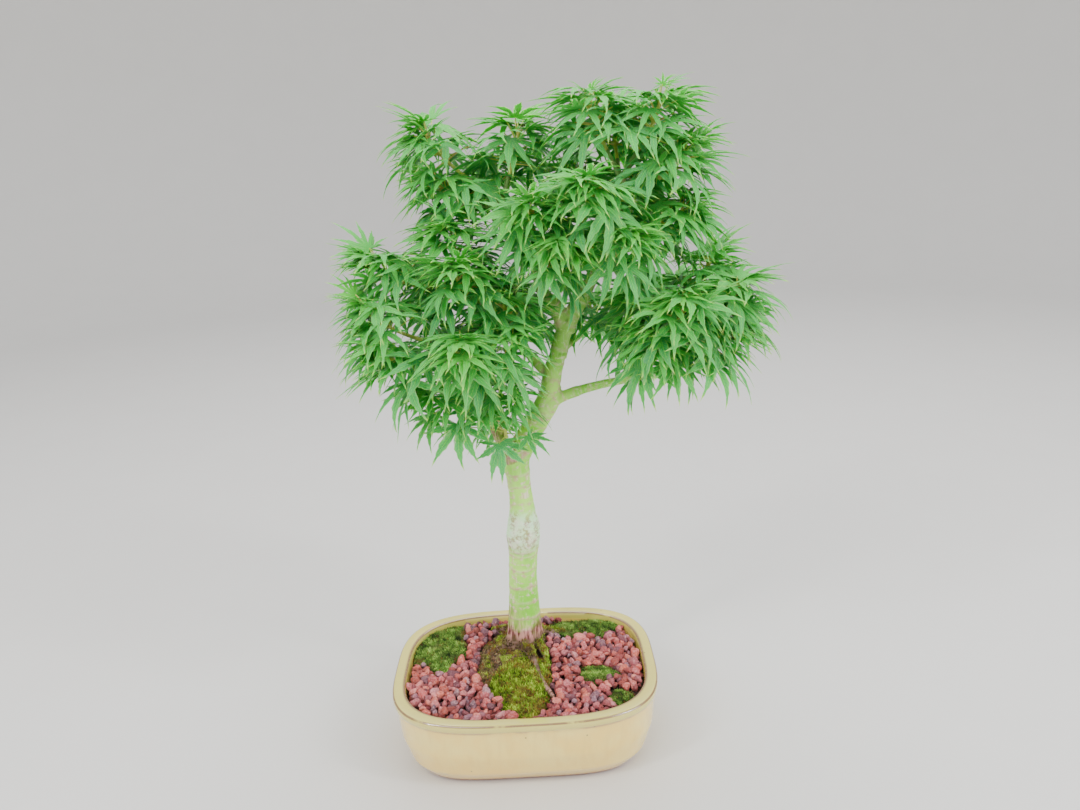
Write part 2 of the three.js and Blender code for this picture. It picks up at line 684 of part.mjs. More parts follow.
// A slab whose top is a triangular lattice, raised at every third corner into a crushed stone
function stoneSlab() {
  const rowStep = (STONE_REACH * Math.sqrt(3)) / 2;
  const columns = Math.ceil(POT_LENGTH / STONE_REACH);
  const rows = Math.ceil(POT_DEPTH / rowStep);
  const count = (columns + 1) * (rows + 1);
  const low = SOIL_TOP + GAP;
  const top = [];
  const bottom = [];
  for (let row = 0; row <= rows; row++) {
    for (let column = 0; column <= columns; column++) {
      const x = (column - columns / 2 + (row % 2) / 2) * STONE_REACH;
      const y = (row - rows / 2) * rowStep;
      const lattice = column - Math.floor(row / 2) + 2 * row;
      const height = lattice % 3 === 0 ? drawBetween(...STONE_HEIGHT) : drawBetween(...CREVICE_HEIGHT);
      const stray = () => drawBetween(-STONE_JITTER, STONE_JITTER);
      top.push(x + stray(), y + stray(), low + height);
      bottom.push(x, y, SOIL_TOP - SUNK);
    }
  }
  const index = [];
  const face = (a, b, c) => index.push(a, b, c, count + a, count + c, count + b);
  const side = (a, b) => index.push(a, count + a, count + b, a, count + b, b);
  for (let row = 0; row < rows; row++) {
    for (let column = 0; column < columns; column++) {
      const a = row * (columns + 1) + column;
      const above = a + columns + 1;
      if (row % 2 === 0) {
        face(a, a + 1, above);
        face(a + 1, above + 1, above);
      } else {
        face(a, a + 1, above + 1);
        face(a, above + 1, above);
      }
    }
    const left = row * (columns + 1);
    side(left + columns + 1, left);
    side(left + columns, left + 2 * columns + 1);
  }
  for (let column = 0; column < columns; column++) {
    side(column, column + 1);
    side(rows * (columns + 1) + column + 1, rows * (columns + 1) + column);
  }
  return solid(meshOf([...top, ...bottom], index));
}

function makeGravel(foot) {
  seedDraws(STONE_SEED);
  let gravel = stoneSlab().intersect(innerPrism(GAP)).subtract(foot);
  for (const patch of Object.values(PATCHES)) {
    gravel = gravel.subtract(patchPrism(patch, GAP));
  }
  return largest(gravel);
}

function makeSoil() {
  const lowest = innerWall(FLOOR_THICKNESS + GAP, FLOOR_ROUND + GAP);
  const rings = [lowest, innerWall(KNEE, GAP), innerWall(SOIL_TOP, GAP)];
  let soil = solid(loft(rings)).subtract(trunkSolid(GAP));
  const pocket = SCREEN.side + 2 * GAP;
  const pocketTop = FLOOR_THICKNESS + GAP + SCREEN.thickness + GAP;
  for (const side of [-1, 1]) {
    const box = new THREE.BoxGeometry(pocket, pocket, 2 * pocketTop);
    soil = soil.subtract(solid(placed(box, side * DRAIN_HOLE.x, 0, 0)));
  }
  return largest(soil);
}

// Colours and finishes

const finish = (color, roughness) => new THREE.MeshStandardMaterial({ color, roughness, metalness: 0 });
const GLAZE = finish(0xcfc18f, 0.25);
const SCREEN_PLASTIC = finish(0x2c3a30, 0.6);
const EARTH = finish(0x3f3226, 0.95);
const BARK = finish(0xa3a878, 0.8);
const LEAF = finish(0x4f9a48, 0.6);
const LAVA = finish(0x9a5a55, 0.9);
const MOSS = finish(0x5f7f22, 0.95);
const BROWN = finish(0x5c4630, 0.95);

const bonsai = new THREE.Group();

function addPiece(name, manifold, material) {
  const mesh = new THREE.Mesh(geometryOf(manifold), material);
  mesh.name = name;
  bonsai.add(mesh);
}

const tree = makeTree();
const foot = footSolid(GAP);
addPiece('pot', makePot(), GLAZE);
addPiece('screen_left', makeScreen(-DRAIN_HOLE.x), SCREEN_PLASTIC);
addPiece('screen_right', makeScreen(DRAIN_HOLE.x), SCREEN_PLASTIC);
addPiece('soil', makeSoil(), EARTH);
addPiece('gravel', makeGravel(foot), LAVA);
for (const [name, patch] of Object.entries(makePatches(foot))) {
  addPiece(name, patch, name === 'litter' ? BROWN : MOSS);
}
addPiece('tree', tree, BARK);
for (const [name, spray] of makeSprays(tree)) {
  addPiece(`leaves_${name}`, spray, LEAF);
}

export default bonsai;
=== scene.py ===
# Dwarf Japanese maple bonsai in its glazed pot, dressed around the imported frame.
import math
from collections import namedtuple

import bpy
import numpy as np
from mathutils import Matrix, Quaternion, Vector, noise
from mathutils.bvhtree import BVHTree
from mathutils.kdtree import KDTree


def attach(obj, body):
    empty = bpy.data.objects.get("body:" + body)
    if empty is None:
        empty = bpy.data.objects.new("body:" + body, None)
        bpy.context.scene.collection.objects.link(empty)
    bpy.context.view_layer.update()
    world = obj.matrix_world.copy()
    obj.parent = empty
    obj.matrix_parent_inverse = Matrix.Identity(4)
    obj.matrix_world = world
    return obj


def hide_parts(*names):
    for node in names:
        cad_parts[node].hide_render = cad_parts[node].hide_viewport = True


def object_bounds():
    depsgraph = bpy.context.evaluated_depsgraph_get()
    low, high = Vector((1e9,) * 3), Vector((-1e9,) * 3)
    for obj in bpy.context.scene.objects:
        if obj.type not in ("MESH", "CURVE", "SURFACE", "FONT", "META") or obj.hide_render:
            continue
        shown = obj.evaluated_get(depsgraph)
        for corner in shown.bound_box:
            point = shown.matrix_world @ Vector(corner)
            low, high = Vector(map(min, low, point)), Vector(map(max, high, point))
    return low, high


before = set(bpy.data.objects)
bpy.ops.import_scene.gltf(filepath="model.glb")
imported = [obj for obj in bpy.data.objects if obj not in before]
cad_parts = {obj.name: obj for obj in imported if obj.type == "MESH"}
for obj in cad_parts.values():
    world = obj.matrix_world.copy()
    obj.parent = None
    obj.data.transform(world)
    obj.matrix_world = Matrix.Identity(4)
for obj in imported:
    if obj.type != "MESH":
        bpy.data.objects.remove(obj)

CAD_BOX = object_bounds()

# Sizes below are in millimetres, as the frame was drawn; pieces are made in metres.
MM = 0.001

# Pot
POT_LENGTH = 308
POT_DEPTH = 242
POT_HEIGHT = 89.4
LIP_WIDTH = 14.5
LIP_ROUND = 1.6
LIP_BULGE = 2
EDGE_ROUND = 3.4
FOOT_LENGTH = 244
FOOT_DEPTH = 188
FLOOR_THICKNESS = 10
FLOOR_ROUND = 4
WALL_THICKNESS = 9
RIM_POWER = 3.3
FOOT_POWER = 4.6
INNER_REACH = 0.62
INNER_POWER = 1.6
KNEE = 40
BRIM = POT_HEIGHT - LIP_ROUND
POT_SIDE = [(0, 1), (6, 0.78), (19, 0.4), (44, 0.12), (79, 0.02)]
POT_POINTS = 224
DRAIN_X = 62
DRAIN_RADIUS = 11
WIRE_HOLE = (30, 45)
WIRE_RADIUS = 2.5
CHANNEL = (100, 9, 3)
SCREEN_SIDE = 42
SCREEN_PITCH = 3
SCREEN_BAR = 0.9
SCREEN_DEPTH = 0.7
SCREEN_WEAVE = 0.25
# Heights where the glaze changes, and where the lower body is painted darker as shade
LOWER_BODY_SHADE = (8, 66)
RIM_TONE = (79, 82)
WORN_EDGE = (87.0, 87.8, 88.8, 89.2)
LIP_HOLLOW = (76.4, 78.6, 79.4, 80.4)
BARE_FOOT = (4.6, 6.2)
# The small hollow under the lip: heights, and how far in the wall is there
LIP_UNDERSIDE = [(77.6, 2.0), (78.8, 2.1), (79.7, 1.7), (80.3, 0.9), (81.0, 0.35), (82.2, 0.05)]

# Ground
SOIL_TOP = 77
SOIL_POINTS = 96
GAP = 0.3

# Tree
TRUNK_Y = 54
TRUNK = [
    (43, 0, 19), (70, -1, 22), (82, -1, 24.5), (92, -0.5, 22.5), (111, 0.5, 20.4), (140, 1.5, 18.4),
    (180, 2.5, 17), (207, 4.5, 17.6), (222, 5.5, 19), (240, 6.5, 17.4), (272, 6, 14.8), (310, 3.5, 15),
    (328, 4, 15.6), (352, 18, 14), (378, 34, 13.4), (396, 44, 13.6), (418, 49, 11.4), (458, 60, 10.6),
    (488, 70, 10.5),
]
LIMBS = {
    "leftFork": ((8.6, 4.2), [(67, 54, 478), (58, 52, 502), (46, 50, 517), (36, 58, 552), (18, 74, 588),
                              (0, 84, 622)]),
    "rightFork": ((9, 4.4), [(67, 54, 478), (79, 53, 500), (89, 50, 516), (106, 48, 550), (124, 46, 590),
                             (134, 46, 640)]),
    "rightBranch": ((6.2, 3), [(40, 54, 388), (64, 50, 401), (103, 44, 413), (148, 38, 421),
                               (175, 34, 426), (196, 32, 448)]),
    "leftBranch": ((7.4, 3.6), [(2, 54, 328), (-11, 48, 350), (-19, 44, 369), (-23, 42, 388),
                                (-38, 38, 424), (-52, 36, 466)]),
    "backBranch": ((5, 3), [(58, 54, 450), (74, 78, 456), (92, 104, 462)]),
    "crossBranch": ((6, 3), [(49, 54, 420), (26, 66, 446), (-8, 82, 480), (-40, 90, 520)]),
}
ROOTS = [
    ((6.5, 2.6), [(1, 44), (9, 12), (20, -34), (33, -64)]),
    ((6, 2.6), [(14, 46), (24, 22), (28, -4)]),
    ((6.5, 2.6), [(-16, 50), (-34, 38), (-48, 20)]),
    ((6, 2.4), [(18, 66), (38, 72), (54, 70)]),
    ((6, 2.4), [(-10, 70), (-26, 84), (-44, 88)]),
]
ROOT_LIFT = 0.4
ROOT_RISE = 5
FOOT_RADIUS = 24
TWIG_RADII = (2.8, 1.5)
STEM_SHARE = 0.6
# How much a twig sinks as it leaves its limb, and rises towards its tip, and how long its handles are
TWIG_SAG = 0.1
TWIG_RISE = 0.7
TWIG_HANDLE = 0.34

# Leafy twigs: limb, share of the limb's length that the twig leaves from, and the twig's tip
SPRAYS = {
    "crown_left_front": ("leftFork", 0.72, (36, 6, 610)),
    "crown_left_top": ("leftFork", 0.96, (26, 98, 690)),
    "crown_left_far": ("leftFork", 0.98, (-74, 92, 692)),
    "crown_left_low": ("leftFork", 0.9, (-64, 84, 638)),
    "crown_left_back": ("leftFork", 0.85, (-8, 146, 650)),
    "crown_front": ("rightFork", 0.72, (94, -14, 632)),
    "crown_middle": ("rightFork", 0.5, (132, -12, 578)),
    "crown_front_left": ("leftFork", 0.5, (64, -8, 574)),
    "crown_top": ("rightFork", 0.98, (102, 56, 716)),
    "crown_top_right": ("rightFork", 1, (174, 44, 710)),
    "crown_top_back": ("rightFork", 0.95, (132, 108, 700)),
    "crown_right": ("rightFork", 0.85, (198, 36, 660)),
    "crown_right_low": ("rightFork", 0.62, (194, 38, 600)),
    "crown_back": ("rightFork", 0.7, (92, 128, 644)),
    "crown_back_right": ("rightFork", 0.6, (164, 112, 624)),
    "left_tip": ("crossBranch", 0.98, (-52, 58, 588)),
    "left_high": ("crossBranch", 0.95, (-138, 54, 560)),
    "left_middle": ("crossBranch", 0.9, (-48, 14, 552)),
    "left_far": ("leftBranch", 0.98, (-142, 14, 516)),
    "left_front": ("leftBranch", 0.95, (-44, -26, 478)),
    "left_low_far": ("leftBranch", 0.82, (-126, 0, 470)),
    "left_bottom": ("leftBranch", 0.62, (-80, 20, 412)),
    "left_inner": ("crossBranch", 0.45, (0, 28, 516)),
    "left_inner_low": ("leftBranch", 0.75, (8, 4, 470)),
    "left_under": ("leftBranch", 0.5, (-10, 22, 416)),
    "left_back": ("crossBranch", 0.92, (-90, 114, 528)),
    "left_back_low": ("crossBranch", 0.6, (-62, 106, 462)),
    "left_back_inner": ("crossBranch", 0.5, (6, 122, 506)),
    "trunk_tuft": ("leftBranch", 0.12, (-6, 24, 384)),
    "right_top": ("rightBranch", 1, (228, 56, 540)),
    "right_inner": ("rightBranch", 0.9, (150, 46, 504)),
    "right_front": ("rightBranch", 0.97, (186, -14, 510)),
    "right_far": ("rightBranch", 0.99, (252, 18, 518)),
    "right_low_far": ("rightBranch", 0.93, (238, 10, 470)),
    "right_low": ("rightBranch", 0.85, (164, 4, 474)),
    "right_back": ("rightBranch", 0.96, (198, 102, 502)),
    "middle_back": ("backBranch", 0.97, (106, 118, 480)),
}

# Places for leaves on a twig. They are drawn as for the frame, where only a few of them bear a leaf
LEAVES_ON_SPRAY = 14
FEWER_LEAVES = {"trunk_tuft": 7}
LEAF_SEED = 101
BLADE_SEED = 500
# Length of a twig that bears leaves, back from its tip
STEM_BEARING = 34
# Degrees round the twig from leaf to leaf
LEAF_TURN = 137.5
TURN_STRAY = (-14, 14)
# How the leaves of a twig stand: youngest, oldest, and how far they stray
LEAF_LEAN = (22, 104, -8, 8)
LEAF_STALK = (15, 29, -3, 3)
LEAF_FALL = (-2, 40, -12, 14)
LEAF_ROLL = (0, 0, -20, 20)
LEAF_SIZE = (0.82, 1.04, -0.08, 0.1)
STALK_LIFT = 0.25

# A blade: angle of each lobe from the middle one in degrees, and its length
LOBES = [(-102, 25), (-66, 37), (-33, 43), (0, 46), (33, 43), (66, 37), (102, 25)]
NOTCH_SHARE = 0.28
REAR_ANGLE = 125
REAR_REACH = 2.4
TAIL_SHARE = 1.27
# Half width of a lobe beyond its cuts, as shares of its length there and of its width at the cuts
LOBE_WIDTH = [(0, 1), (0.12, 1.16), (0.26, 1.32), (0.4, 1.2), (0.52, 0.86), (0.64, 0.5), (0.76, 0.27),
              (0.88, 0.16), (1, 0.03)]
BLADE_DROOP = 0.0034
RIB_THICKNESS = 0.34
# Points along a lobe up to its cuts, and beyond them
FUSED = 2
FREE = [6, 9, 9, 9, 9, 9, 6]
# How far out the cuts' ends are marked, and how far aside their lines run
CUT_OUT = 0.3
CUT_ASIDE = 0.7
# A tooth of the margin and the dent after it: width as a share, width added, and how far ahead it leans
TOOTH = (1.05, 0.25, 0.9)
DENT = (0.92, 0, -0.3)

# How blades differ: length and slant of each lobe, fold along the ribs, cupping, width and curl
LOBE_STRETCH = (0.9, 1.08)
LOBE_STRAY = 5
LOBE_SWEEP = 10
RIB_FOLD = (0.1, 0.42)
CUPPING = (-0.1, 0.3)
LOBE_BREADTH = (0.7, 1.06)
CURL = (0.0, 1.3)
CURL_STARTS = 23.0
CURL_RATE = 0.0062
CURL_POWER = 1.25
# How far the cupping moves the margin near the base, and how far out that reaches
CUP_HEIGHT = 3
CUP_WITHIN = 0.34
LONGEST_REACH = 62

UP = np.array([0.0, 0.0, 1.0])
RIGHT = np.array([1.0, 0.0, 0.0])


# Colours are written as they look on screen, from 0 to 255
def paint(red, green, blue):
    linear = [((c / 255 + 0.055) / 1.055) ** 2.4 if c > 10 else c / 255 / 12.92 for c in (red, green, blue)]
    return (*linear, 1.0)


# Shader maths

def operator(operation, swapped=False):
    """A sign of arithmetic between a value and a number or another value."""
    def apply(self, other):
        first, second = (other, self) if swapped else (self, other)
        return self.maths(operation, first, second)
    return apply


class Value:
    """A socket of a finish that takes part in arithmetic."""

    __add__ = operator("ADD")
    __radd__ = operator("ADD", swapped=True)
    __sub__ = operator("SUBTRACT")
    __rsub__ = operator("SUBTRACT", swapped=True)
    __mul__ = operator("MULTIPLY")
    __rmul__ = operator("MULTIPLY", swapped=True)

    def __init__(self, finish, socket):
        self.finish = finish
        self.socket = socket

    def maths(self, operation, first, second=0.0, clamp=False):
        settings = {"operation": operation, "use_clamp": clamp}
        return self.finish.node("ShaderNodeMath", settings, {0: first, 1: second})

    def clamped(self):
        return self.maths("ADD", self, 0.0, clamp=True)

    def wave(self):
        return self.maths("SINE", self)

    def step(self, low, high):
        """From 0 at low to 1 at high, with soft ends."""
        settings = {"interpolation_type": "SMOOTHSTEP"}
        sockets = {"Value": self, "From Min": low, "From Max": high}
        return self.finish.node("ShaderNodeMapRange", settings, sockets)

    def band(self, low, rise, fall, high):
        """1 between rise and fall, and 0 below low and above high."""
        return self.step(low, rise) * (1 - self.step(fall, high))


class Finish:
    """A surface material under construction."""

    def __init__(self, name):
        self.material = bpy.data.materials.new(name)
        self.material.use_nodes = True
        self.tree = self.material.node_tree
        self.tree.nodes.clear()

    def node(self, kind, settings=None, sockets=None, out=0):
        """Adds a node, sets it up, fills or links its sockets, and gives one of its outputs."""
        node = self.tree.nodes.new(kind)
        for key, setting in (settings or {}).items():
            if key == "stops":
                self.set_stops(node.color_ramp, setting)
            else:
                setattr(node, key, setting)
        for key, value in (sockets or {}).items():
            if isinstance(value, Value):
                self.tree.links.new(value.socket, node.inputs[key])
            else:
                node.inputs[key].default_value = value
        return Value(self, node.outputs[out])

    @staticmethod
    def set_stops(ramp, stops):
        while len(ramp.elements) < len(stops):
            ramp.elements.new(0.5)
        for element, (place, color) in zip(ramp.elements, stops):
            element.position = place
            element.color = paint(*color)

    def place(self, stretch=(1, 1, 1)):
        """Where a point is on the object, in metres, with each axis stretched."""
        here = self.node("ShaderNodeTexCoord", out="Object")
        if stretch == (1, 1, 1):
            return here
        return self.node("ShaderNodeVectorMath", {"operation": "MULTIPLY"}, {0: here, 1: stretch})

    def height(self):
        return self.node("ShaderNodeSeparateXYZ", sockets={0: self.place()}, out="Z")

    def cloud(self, grain, detail=3.0, stretch=(1, 1, 1), rough=0.55):
        """Soft noise from 0 to 1 whose lumps are about grain millimetres across."""
        sockets = {"Vector": self.place(stretch), "Scale": 1 / (grain * MM),
                   "Detail": detail, "Roughness": rough}
        return self.node("ShaderNodeTexNoise", sockets=sockets)

    def cells(self, grain, stretch=(1, 1, 1)):
        """How far a point is from the middle of its cell, for cells about grain millimetres across."""
        sockets = {"Vector": self.place(stretch), "Scale": 1 / (grain * MM)}
        return self.node("ShaderNodeTexVoronoi", sockets=sockets, out="Distance")

    def blend(self, share, first, second):
        """A colour between two, by share. A plain colour is given as it looks on screen."""
        first, second = [color if isinstance(color, Value) else paint(*color) for color in (first, second)]
        settings = {"data_type": "RGBA", "blend_type": "MIX", "clamp_factor": True}
        return self.node("ShaderNodeMix", settings, {0: share, 6: first, 7: second}, out=2)

    def ramp(self, share, stops):
        return self.node("ShaderNodeValToRGB", {"stops": stops}, {"Fac": share})

    def mark(self, name):
        """A value that the mesh carries at its points."""
        return self.node("ShaderNodeAttribute", {"attribute_name": name}, out="Fac")

    def tints(self):
        """The red, green and blue of the tint that the mesh carries at its points."""
        color = self.node("ShaderNodeAttribute", {"attribute_name": "tint"}, out="Color")
        return [self.node("ShaderNodeSeparateColor", sockets={"Color": color}, out=part)
                for part in ("Red", "Green", "Blue")]

    def bumps(self, height, depth, strength=1.0, below=None):
        """Relief of a height from 0 to 1 that stands depth millimetres proud."""
        sockets = {"Height": height, "Distance": depth * MM, "Strength": strength}
        if below is not None:
            sockets["Normal"] = below
        return self.node("ShaderNodeBump", sockets=sockets)

    def done(self, **sockets):
        """Ends the finish with its shader, from socket names in small letters with underscores."""
        named = {}
        for key, value in sockets.items():
            named[key.replace("_", " ").title().replace("Ior", "IOR")] = value
        shader = self.node("ShaderNodeBsdfPrincipled", sockets=named)
        end = self.tree.nodes.new("ShaderNodeOutputMaterial")
        self.tree.links.new(shader.socket, end.inputs["Surface"])
        return self.material


# Finishes

def cream_glaze():
    finish = Finish("cream glaze")
    height = finish.height() * (1 / MM)
    drift = finish.cloud(46, 4)
    fine = finish.cloud(5, 3)
    streaks = finish.cloud(9, 3, stretch=(1, 1, 0.22))
    body = finish.blend(drift.step(0.35, 0.65), (255, 216, 102), (255, 228, 122))
    body = finish.blend(streaks.step(0.45, 0.7) * 0.4, body, (240, 202, 98))
    # Painted shade: the body darkens towards the bottom, away from the light above
    body = finish.blend((1 - height.step(*LOWER_BODY_SHADE)) * 0.5, body, (236, 196, 92))
    color = finish.blend(height.step(*RIM_TONE) * 0.85, body, (210, 200, 100))
    broken = height.band(*WORN_EDGE) * finish.cloud(40, 5).step(0.34, 0.46)
    hollow = height.band(*LIP_HOLLOW) * finish.cloud(30, 3).step(0.3, 0.6)
    color = finish.blend((broken * 0.85).clamped(), color, (118, 74, 52))
    color = finish.blend(hollow * 0.7, color, (176, 130, 96))
    specks = finish.cells(13).step(0.1, 0.05) * finish.cloud(33, 1).step(0.5, 0.56)
    color = finish.blend(specks * 0.85, color, (70, 52, 36))
    foot = 1 - (height + fine * 2.4).step(*BARE_FOOT)
    color = finish.blend(foot, color, (178, 122, 98))
    dull = (foot * 0.6 + broken * 0.12 + fine * 0.06 + 0.12).clamped()
    waves = finish.bumps(finish.cloud(26, 2), 0.9, 0.35)
    relief = finish.bumps(fine, 0.12, 0.5, waves)
    return finish.done(base_color=color, roughness=dull, normal=relief, coat_weight=(1 - foot) * 0.95,
                       coat_roughness=0.03, coat_ior=1.75)


def mesh_plastic():
    finish = Finish("screen plastic")
    grain = finish.cloud(2, 2)
    color = finish.blend(grain, (34, 46, 38), (52, 66, 54))
    return finish.done(base_color=color, roughness=0.35 + grain * 0.3, normal=finish.bumps(grain, 0.1))


def damp_soil():
    finish = Finish("damp soil")
    grain = finish.cloud(3, 4)
    crumbs = finish.cells(3.4)
    stops = [(0.25, (28, 20, 14)), (0.55, (62, 46, 34)), (0.8, (96, 74, 56))]
    color = finish.ramp(grain, stops)
    color = finish.blend(crumbs.step(0.5, 0.8) * 0.5, color, (24, 18, 12))
    relief = finish.bumps(grain + crumbs, 1.2)
    return finish.done(base_color=color, roughness=0.85 + grain * 0.1, normal=relief)


def lava_stone():
    """Crushed lava: the mark's red is a stone's hue, its green how light the stone is, a random tone that
    on the lower layer is painted shade in the gaps, and its blue how high on the stone a point is, which
    paints shade on each stone's underside."""
    finish = Finish("lava stone")
    hue, light, high = finish.tints()
    stops = [(0.0, (104, 80, 92)), (0.16, (144, 106, 122)), (0.3, (176, 104, 114)),
             (0.55, (192, 90, 90)), (0.8, (206, 96, 76)), (1.0, (218, 118, 102))]
    color = finish.ramp(hue, stops)
    pits = finish.cells(1.5)
    dust = finish.cloud(2.2, 4)
    color = finish.blend(dust.step(0.4, 0.75) * 0.55, color, (232, 176, 172))
    color = finish.blend(pits.step(0.32, 0.12) * 0.5, color, (92, 40, 42))
    color = finish.blend(light.step(0.75, 1.0) * 0.22, color, (240, 176, 166))
    # Darker stones: a random tone on the upper layer, and painted shade on the lower layer seen in the gaps
    color = finish.blend((1 - light.step(0.0, 0.65)) * 0.7, color, (96, 38, 44))
    # Painted shade: each stone darkens towards its underside
    color = finish.blend((1 - high) * 0.95, color, (30, 12, 16))
    relief = finish.bumps(pits.step(0.1, 0.5) + dust, 0.8, 0.8)
    return finish.done(base_color=color, roughness=0.8 + dust * 0.18, normal=relief, specular_ior_level=0.3)


def moss_green(name, deep, middle, bright, old):
    """Moss: the mark's red is how far up a shoot a point is, its green how light the shoot is, a random
    tone with painted light in the middle of each tuft and painted shade towards the gaps, and its blue how
    rusty the shoot is."""
    finish = Finish(name)
    up, tint, rust = finish.tints()
    patch = finish.cloud(13, 3)
    share = (up * 0.5 + tint * 0.7 + (patch - 0.5) * 1.4 - 0.24).clamped()
    color = finish.ramp(share, [(0.0, deep), (0.45, middle), (0.95, bright)])
    color = finish.blend(finish.cloud(19, 3).step(0.48, 0.62) * (0.75 - up * 0.3), color, old)
    dry = finish.blend(rust.step(0.55, 0.75), (104, 82, 48), (166, 82, 34))
    color = finish.blend(rust * 1.6, color, dry)
    fuzz = finish.cloud(1.1, 3)
    relief = finish.bumps(fuzz, 0.7)
    return finish.done(base_color=color, roughness=0.9, normal=relief, specular_ior_level=0.2)


def forest_litter():
    finish = Finish("leaf litter")
    hue = finish.tints()[0]
    grain = finish.cloud(2.4, 4)
    stops = [(0.0, (58, 42, 32)), (0.3, (104, 74, 54)), (0.6, (136, 98, 68)),
             (0.85, (104, 110, 52)), (1.0, (176, 142, 108))]
    color = finish.ramp(hue, stops)
    color = finish.blend(grain.step(0.4, 0.7) * 0.5, color, (38, 28, 20))
    return finish.done(base_color=color, roughness=0.85 + grain * 0.1, normal=finish.bumps(grain, 0.8))


def maple_bark():
    """Bark: the mark's red is scars, its green the graft, its blue the woody foot. The young mark is above
    0 on young green wood, and below 0 on earthy roots."""
    finish = Finish("maple bark")
    scar, graft, woody = finish.tints()
    young = finish.mark("young")
    tone = finish.cloud(34, 3, stretch=(1, 1, 0.6))
    mottle = finish.cloud(9, 5, stretch=(1, 1, 1.6))
    streaks = finish.cloud(3.2, 4, stretch=(1, 1, 0.16))
    fleck = finish.cells(4.2, stretch=(1, 1, 0.7))
    root = (young * -1).clamped()
    green = finish.blend(tone.step(0.35, 0.65), (134, 226, 46), (190, 252, 104))
    green = finish.blend(young.clamped(), green, (114, 166, 76))
    tan = finish.blend(streaks.step(0.35, 0.65), (212, 176, 152), (244, 232, 204))
    patches = (mottle.step(0.52, 0.64) * 0.75 + streaks.step(0.56, 0.7) * 0.3).clamped()
    patches = patches * (1 - young * 0.75)
    color = finish.blend(patches, green, tan)
    ring = finish.blend(mottle.step(0.4, 0.6), (236, 210, 190), (196, 156, 134))
    color = finish.blend(scar * (0.2 + mottle), color, ring)
    mealy = finish.blend(tone.step(0.4, 0.6), (250, 244, 226), (214, 255, 214))
    mealy = finish.blend(finish.cloud(8, 6, rough=0.75).step(0.46, 0.62) * 0.85, mealy, (158, 104, 96))
    color = finish.blend(graft * (0.6 + mottle * 0.4), color, mealy)
    base = finish.blend(streaks.step(0.4, 0.6), (98, 50, 46), (216, 150, 144))
    color = finish.blend(woody * (0.7 + mottle * 0.5), color, base)
    earthy = finish.blend(mottle.step(0.35, 0.65), (74, 54, 42), (138, 110, 92))
    color = finish.blend(root * 0.9, color, earthy)
    rough = finish.bumps(streaks, 0.5, 0.6)
    relief = finish.bumps(fleck + mottle, 0.35, 0.5, rough)
    return finish.done(base_color=color, roughness=0.55 + mottle * 0.25, normal=relief,
                       specular_ior_level=0.35)


def leaf_green():
    """A blade: the mark's red runs from its base to its tips, its green from rib to margin, its blue is
    age. The side mark is 1 on the upper face and 0 on the lower."""
    finish = Finish("maple leaf")
    out, aside, age = finish.tints()
    side = finish.mark("side")
    drift = finish.cloud(19, 3)
    stops = [(0.0, (88, 194, 60)), (0.25, (68, 178, 68)), (0.6, (58, 162, 76)),
             (1.0, (52, 146, 86))]
    color = finish.ramp(age, stops)
    color = finish.blend(drift.step(0.4, 0.7) * 0.3, color, (78, 186, 64))
    under = finish.blend(0.5, color, (106, 188, 98))
    color = finish.blend(side, under, color)
    veins = (out * 88 - aside * 9).wave().step(0.72, 1.0) * (1 - out.step(0.75, 0.9)) * 0.35
    rib = (1 - aside.step(0.03, 0.13)) * 0.6
    color = finish.blend((veins + rib).clamped(), color, (122, 212, 76))
    tip = out.step(0.78, 0.98)
    color = finish.blend(tip * 0.85, color, (188, 240, 90))
    color = finish.blend(aside.step(0.8, 1.0) * 0.5, color, (142, 226, 84))
    relief = finish.bumps(veins + rib + finish.cloud(2.5, 2) * 0.3, 0.5, 0.55)
    return finish.done(base_color=color, roughness=0.58 - side * 0.06, normal=relief,
                       specular_ior_level=0.3, subsurface_weight=0.7, subsurface_radius=(0.5, 1.0, 0.3),
                       subsurface_scale=1.2 * MM)


def green_stalk():
    finish = Finish("leaf stalk")
    hue = finish.tints()[0]
    grain = finish.cloud(4, 3)
    stops = [(0.0, (170, 206, 70)), (0.5, (220, 226, 104)), (1.0, (220, 160, 110))]
    color = finish.ramp(hue, stops)
    color = finish.blend(grain.step(0.4, 0.7) * 0.3, color, (150, 120, 86))
    return finish.done(base_color=color, roughness=0.5 + grain * 0.15, normal=finish.bumps(grain, 0.15))


# Meshes

class Heap:
    """Meshes gathered into one piece. Each point may carry a tint and a second mark."""

    def __init__(self):
        self.points = []
        self.faces = []
        self.tints = []
        self.seconds = []
        self.finishes = []
        self.count = 0

    def add(self, points, faces, tint=(0, 0, 0, 1), second=0.0, finish=0):
        """Tint and second are for all points alike, or one row for each."""
        points = np.asarray(points, float)
        self.points.append(points)
        self.faces.extend([tuple(i + self.count for i in face) for face in faces])
        self.tints.append(np.broadcast_to(np.asarray(tint, float), (len(points), 4)))
        self.seconds.append(np.broadcast_to(np.asarray(second, float), (len(points),)))
        self.finishes.extend([finish] * len(faces))
        self.count += len(points)

    def mesh(self, name, second_name="side"):
        mesh = bpy.data.meshes.new(name)
        points = np.concatenate(self.points) * MM
        mesh.from_pydata(points.tolist(), [], self.faces)
        mesh.polygons.foreach_set("material_index", self.finishes)
        tint = mesh.attributes.new("tint", "FLOAT_COLOR", "POINT")
        tint.data.foreach_set("color", np.concatenate(self.tints).astype(np.float32).ravel())
        second = mesh.attributes.new(second_name, "FLOAT", "POINT")
        second.data.foreach_set("value", np.concatenate(self.seconds).astype(np.float32))
        mesh.update()
        return mesh


def put(name, data):
    """A new object in the scene."""
    piece = bpy.data.objects.new(name, data)
    bpy.context.scene.collection.objects.link(piece)
    return piece


